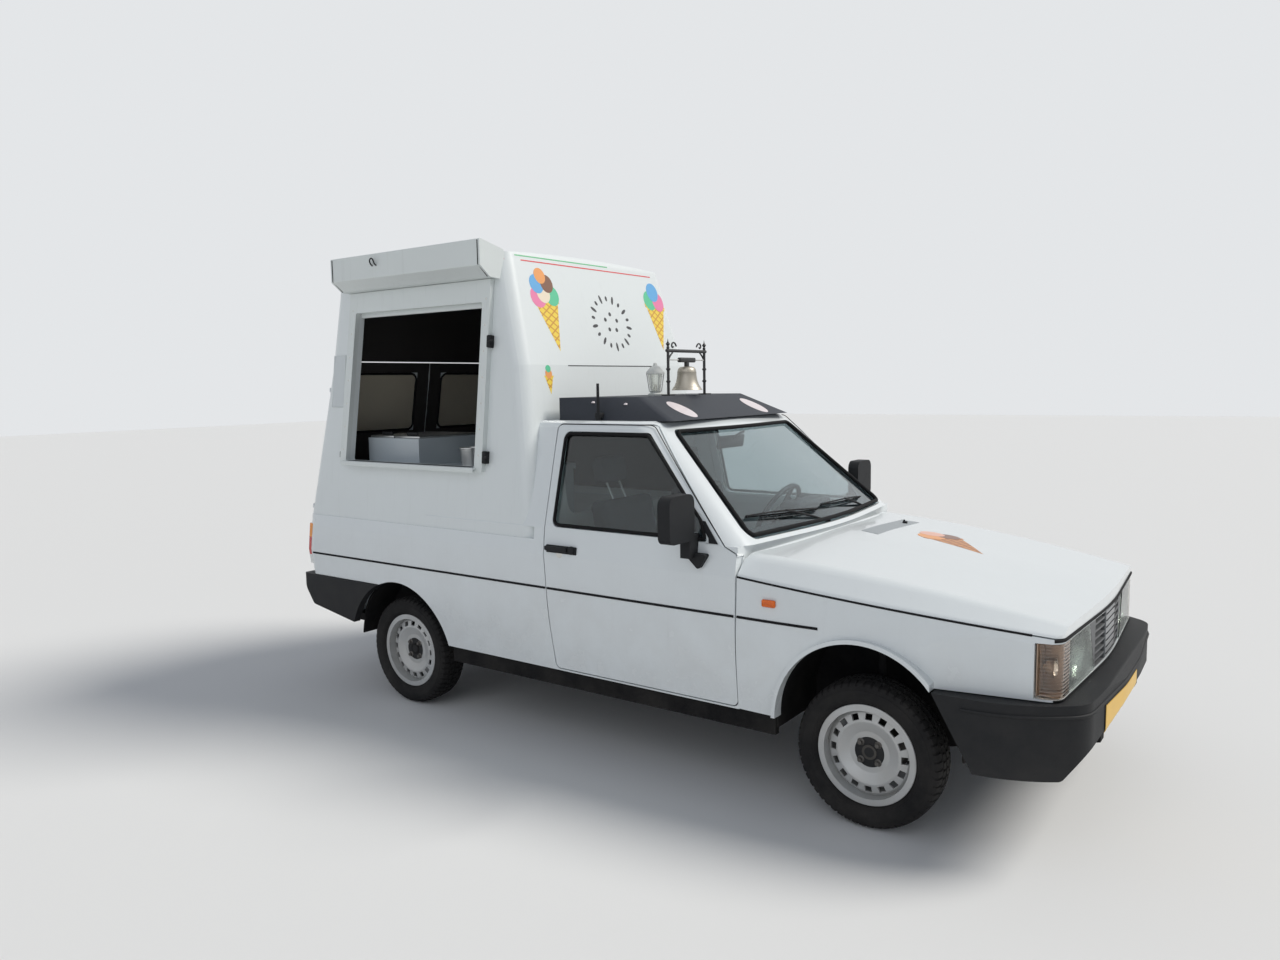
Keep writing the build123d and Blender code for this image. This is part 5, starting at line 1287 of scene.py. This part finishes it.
class VAN_OT_cabin(bpy.types.Operator):
    """Make the seats, the fittings of the dashboard and the counter, and the dark sheets of the box, partly its
    own dark panels and partly painted shade
    """

    bl_idname = "van.cabin"
    bl_label = "Cabin and counter"

    def pad(self, size, lean, swell):
        """Stuffed block: remeshed, and blown up by the cloth solver as far as swell."""
        bm = cuboid(size, (0, 0, 0), min(size) * 0.28, segments=3)
        mesh = bpy.data.meshes.new("pad")
        bm.to_mesh(mesh)
        bm.free()
        obj = bpy.data.objects.new("pad", mesh)
        bpy.context.scene.collection.objects.link(obj)
        remesh = obj.modifiers.new("grid", "REMESH")
        remesh.mode = "VOXEL"
        remesh.voxel_size = 0.014
        graph = bpy.context.evaluated_depsgraph_get()
        fine = bpy.data.meshes.new_from_object(obj.evaluated_get(graph))
        obj.modifiers.clear()
        obj.data = fine
        rest = [v.co.copy() for v in fine.vertices]
        cloth = obj.modifiers.new("swell", "CLOTH")
        cloth.settings.use_pressure = True
        cloth.settings.uniform_pressure_force = bpy.context.scene.van_sizes.pad_pressure
        cloth.settings.effector_weights.gravity = 0
        cloth.settings.quality = 5
        for number in range(1, 16):
            bpy.context.scene.frame_set(number)
        graph = bpy.context.evaluated_depsgraph_get()
        blown = bpy.data.meshes.new_from_object(obj.evaluated_get(graph))
        obj.modifiers.clear()
        for vert, start in zip(blown.vertices, rest):
            move = vert.co - start
            if move.length > swell:
                vert.co = start + move * (swell / move.length)
        obj.data = blown
        bpy.context.scene.frame_set(1)
        bm = bmesh.new()
        bm.from_mesh(obj.data)
        bpy.data.objects.remove(obj)
        return placed(bm, turn=Matrix.Rotation(math.radians(lean), 4, "Y"))

    def seats(self, colour):
        cloth = finish("Seat cloth", colour, rough=0.85, tone=0.3)
        if not cloth.node_tree.nodes.get("Threads"):
            threads = place_group(cloth.node_tree, "Weave", weave_group, {"Scale": 160.0})
            threads.name = "Threads"
            add_bump(cloth.node_tree, threads.outputs["Height"], 0.6, 0.0012)
        plinth = finish("Seat base", (0.03, 0.03, 0.032), rough=0.6, tone=0.2, grain=0.4)
        cushion = self.pad((0.400, 0.420, 0.100), -4, 0.012)
        back = self.pad((0.095, 0.420, 0.500), -12, 0.012)
        rest = self.pad((0.070, 0.205, 0.125), -12, 0.008)
        for side, label in SIDES:
            y = side * SEAT_Y
            parts = []
            for bm, place in ((cushion, (0.205, y, 0.625)), (back, (-0.075, y, 0.905)),
                              (rest, (-0.192, y, 1.275))):
                parts.append((placed(bm.copy(), place), cloth))
            for post_y in (y - 0.05, y + 0.05):
                parts.append((rod((-0.135, post_y, 1.13), (-0.185, post_y, 1.235), 0.006), bright_metal()))
            parts.append((cuboid((0.34, 0.38, 0.20), (0.175, y, 0.474), 0.010), plinth))
            seat = piece(f"seat_{label}", parts, "body", ["seats"])
        for bm in (cushion, back, rest):
            bm.free()

    def lining_and_painted_shade(self):
        """Dark sheets inside the vending box and the rear doors, partly their own dark panels and partly
        painted shade, and pale panes in the rear doors.
        """
        # dark colour: partly the box's own dark panels, partly painted shade of its inside
        dark = finish("Box dark panels and painted shade", (0.030, 0.028, 0.027), rough=0.7, tone=0.3, grain=0.2)
        cream = finish("Cream pane", (0.55, 0.50, 0.40), rough=0.5, tone=0.2)
        ceiling = Matrix.Diagonal((1, 1, -1, 1))
        walls = (("side", "box_side_left", (0, 1, 0), 0, RIGHT_VIEW,
                  [(-1.95, 1.03), (-0.37, 1.03), (-0.48, 1.78), (-0.63, 2.24), (-1.81, 2.24), (-1.89, 1.78)]),
                 ("roof", "box_roof", (0, 0, 1), -1.8, ceiling, box_outline(-1.80, -0.62, -0.58, 0.58)),
                 ("rear", "rear_frame", (-1, 0, 0), 0, FRONT_VIEW,
                  [(-0.62, 1.848), (0.62, 1.848), (0.60, 2.26), (-0.60, 2.26)]),
                 ("front", "box_front", (1, 0, 0), 1.2, REAR_VIEW, box_outline(-0.58, 0.58, 1.52, 2.24)))
        for name, node, direction, reach, turn, points in walls:
            sheet = slab(points, 0.003, turn=turn, cuts=6)
            piece(f"lining_{name}", [(drape(sheet, [node], direction, reach), dark)], "body")
        # the sheets of a rear door: free edge, hinge edge, below and above the pane, and the pane; the dark
        # ones are partly painted shade
        sheets = ((0.004, 0.094, 1.00, 1.838, dark), (0.578, 0.650, 1.00, 1.838, dark),
                  (0.094, 0.578, 1.00, 1.43, dark), (0.094, 0.578, 1.782, 1.838, dark),
                  (0.108, 0.562, 1.443, 1.767, cream))
        for side, label in SIDES:
            parts = []
            for y0, y1, z0, z1, material in sheets:
                sheet = slab(box_outline(side * y0, side * y1, z0, z1), 0.003, turn=FRONT_VIEW, cuts=4)
                parts.append((drape(sheet, [f"rear_door_{label}"], (-1, 0, 0), 0), material))
            piece(f"door_lining_{label}", parts, f"back_door_{label}")

    def dashboard(self):
        moulding = finishes["Dashboard moulding"]
        dial = finish("Dial", (0.01, 0.01, 0.012), rough=0.2, coat=0.6)
        hood = cuboid((0.120, 0.360, 0.070), (0.530, 0.345, 1.062), 0.022, segments=4)
        shelf = cuboid((0.016, 0.400, 0.012), (0.486, -0.360, 0.880), 0.004)
        dials = [spun([(0, 0.004), (0.046, 0.004), (0.050, 0)], (0.473, y, 1.060), ALONG_MINUS_X, 32)
                 for y in (0.27, 0.42)]
        vents = [cuboid((0.012, 0.085, 0.004), (0.492, y, 0.955 + i * 0.012), 0.001)
                 for y in (-0.50, -0.06, 0.06, 0.62) for i in range(4)]
        parts = made_of(moulding, hood, shelf) + made_of(dial, *dials) + made_of(rubber(), *vents)
        piece("dashboard_fittings", parts, "body")

    def counter(self):
        low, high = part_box("freezer_counter")
        steel = finish("Lid steel", (0.55, 0.56, 0.56), rough=0.3, metal=0.9, tone=0.15, grain=0.1)
        parts = []
        for x in (low.x + 0.110, low.x + 0.320):
            lid = cuboid((0.200, 0.440, 0.012), (x, low.y + 0.290, high.z + 0.006), 0.004)
            grip = cuboid((0.090, 0.014, 0.020), (x, low.y + 0.110, high.z + 0.022), 0.006, segments=3)
            parts += [(lid, steel), (grip, black_trim())]
        tub = [(0, 0.0), (0.052, 0.0), (0.058, 0.090), (0.062, 0.092), (0.062, 0.098), (0.055, 0.098),
               (0.050, 0.006), (0, 0.006)]
        for i in range(3):
            place = (high.x - 0.13 - i * 0.14, low.y + 0.20, high.z - 0.145)
            parts.append((spun(tub, place, steps=32), steel))
        edge = cuboid((high.x - low.x, 0.018, 0.034),
                      ((low.x + high.x) / 2, low.y + 0.004, high.z - 0.160), 0.005, segments=3)
        parts.append((edge, finishes["Counter enamel"]))
        piece("counter_fittings", parts, "body")

    def execute(self, context):
        self.seats(context.scene.van_colours.seat)
        self.dashboard()
        self.counter()
        self.lining_and_painted_shade()
        return {"FINISHED"}


class VAN_OT_stage(bpy.types.Operator):
    """Set the floor, the soft lights, the pale surroundings and the camera"""

    bl_idname = "van.stage"
    bl_label = "Stage"

    def floor(self):
        bm = bmesh.new()
        bmesh.ops.create_grid(bm, x_segments=2, y_segments=2, size=40)
        mesh = bpy.data.meshes.new("floor")
        bm.to_mesh(mesh)
        bm.free()
        obj = bpy.data.objects.new("floor", mesh)
        bpy.context.scene.collection.objects.link(obj)
        values = {"Base Color": (0.78, 0.78, 0.77, 1), "Roughness": 0.85}
        mesh.materials.append(new_material("Pale floor", values)[0])

    def surroundings(self):
        """Soft light from all round, and a plain pale view of it for the camera, metal and glass."""
        world = bpy.data.worlds.new("Pale room")
        bpy.context.scene.world = world
        world.use_nodes = True
        tree = world.node_tree
        light = tree.nodes["Background"]
        light.inputs["Color"].default_value = (0.80, 0.87, 1.0, 1)
        light.inputs["Strength"].default_value = 0.30
        view = add_node(tree, "ShaderNodeBackground",
                        inputs={"Color": (0.90, 0.92, 0.94, 1), "Strength": 0.86})
        rays = add_node(tree, "ShaderNodeLightPath").outputs
        shown = maths(tree, "MAXIMUM", rays["Is Camera Ray"], rays["Is Glossy Ray"])
        shown = maths(tree, "MAXIMUM", shown, rays["Is Transmission Ray"])
        mix = add_node(tree, "ShaderNodeMixShader",
                       inputs={0: shown, 1: light.outputs[0], 2: view.outputs[0]})
        tree.links.new(mix.outputs[0], tree.nodes["World Output"].inputs["Surface"])

    def lamp(self, name, place, angle, strength, colour):
        """Wide lamp far away that shines from a place towards the middle of the van."""
        data = bpy.data.lights.new(name, "SUN")
        data.angle = math.radians(angle)
        data.energy = strength
        data.color = colour
        obj = bpy.data.objects.new(name, data)
        bpy.context.scene.collection.objects.link(obj)
        obj.rotation_euler = (-Vector(place)).to_track_quat("-Z", "Y").to_euler()

    def camera(self):
        data = bpy.data.cameras.new("camera")
        data.sensor_fit = "HORIZONTAL"
        data.sensor_width = 36
        data.lens = CAMERA_LENS
        data.clip_end = 200
        obj = bpy.data.objects.new("camera", data)
        bpy.context.scene.collection.objects.link(obj)
        yaw, pitch, roll = (math.radians(a) for a in (CAMERA_YAW, CAMERA_PITCH, CAMERA_ROLL))
        ahead = Vector((-math.sin(yaw) * math.cos(pitch), math.cos(yaw) * math.cos(pitch), math.sin(pitch)))
        right = ahead.cross(Vector((0, 0, 1))).normalized()
        up = right.cross(ahead)
        turned_right = right * math.cos(roll) + up * math.sin(roll)
        turned_up = up * math.cos(roll) - right * math.sin(roll)
        rotation = Matrix((turned_right, turned_up, -ahead)).transposed().to_4x4()
        obj.matrix_world = Matrix.Translation(CAMERA_PLACE) @ rotation
        bpy.context.scene.camera = obj

    def execute(self, context):
        self.floor()
        self.surroundings()
        self.camera()
        self.lamp("key", (4.5, 3.5, 6.0), 25, 2.6, (1.0, 0.97, 0.92))
        self.lamp("fill", (1.5, -7.0, 4.0), 60, 0.5, (0.93, 0.96, 1.0))
        return {"FINISHED"}


class VAN_PT_panel(bpy.types.Panel):
    """Van finishes in the sidebar"""

    bl_idname = "VAN_PT_panel"
    bl_label = "Ice cream van"
    bl_space_type = "VIEW_3D"
    bl_region_type = "UI"
    bl_category = "Van"

    def draw(self, context):
        for group in (context.scene.van_colours, context.scene.van_sizes):
            column = self.layout.column()
            for name in group.__annotations__:
                column.prop(group, name)
        for operator in OPERATORS:
            self.layout.operator(operator.bl_idname)


OPERATORS = (VAN_OT_stage, VAN_OT_solids, VAN_OT_tyres, VAN_OT_seals, VAN_OT_side_trim, VAN_OT_lamps,
             VAN_OT_nose, VAN_OT_wipers, VAN_OT_mirrors, VAN_OT_shutter, VAN_OT_decals, VAN_OT_bell,
             VAN_OT_rear, VAN_OT_cabin)
CLASSES = (VanColours, VanSizes, *OPERATORS, VAN_PT_panel)


def register():
    for item in CLASSES:
        bpy.utils.register_class(item)
    bpy.types.Scene.van_colours = PointerProperty(type=VanColours)
    bpy.types.Scene.van_sizes = PointerProperty(type=VanSizes)


def unregister():
    del bpy.types.Scene.van_sizes
    del bpy.types.Scene.van_colours
    for item in reversed(CLASSES):
        bpy.utils.unregister_class(item)


def main():
    register()
    bpy.context.scene.view_settings.view_transform = "Standard"
    for operator in OPERATORS:
        group, name = operator.bl_idname.split(".")
        getattr(getattr(bpy.ops, group), name)()


if __name__ == "__main__":
    main()
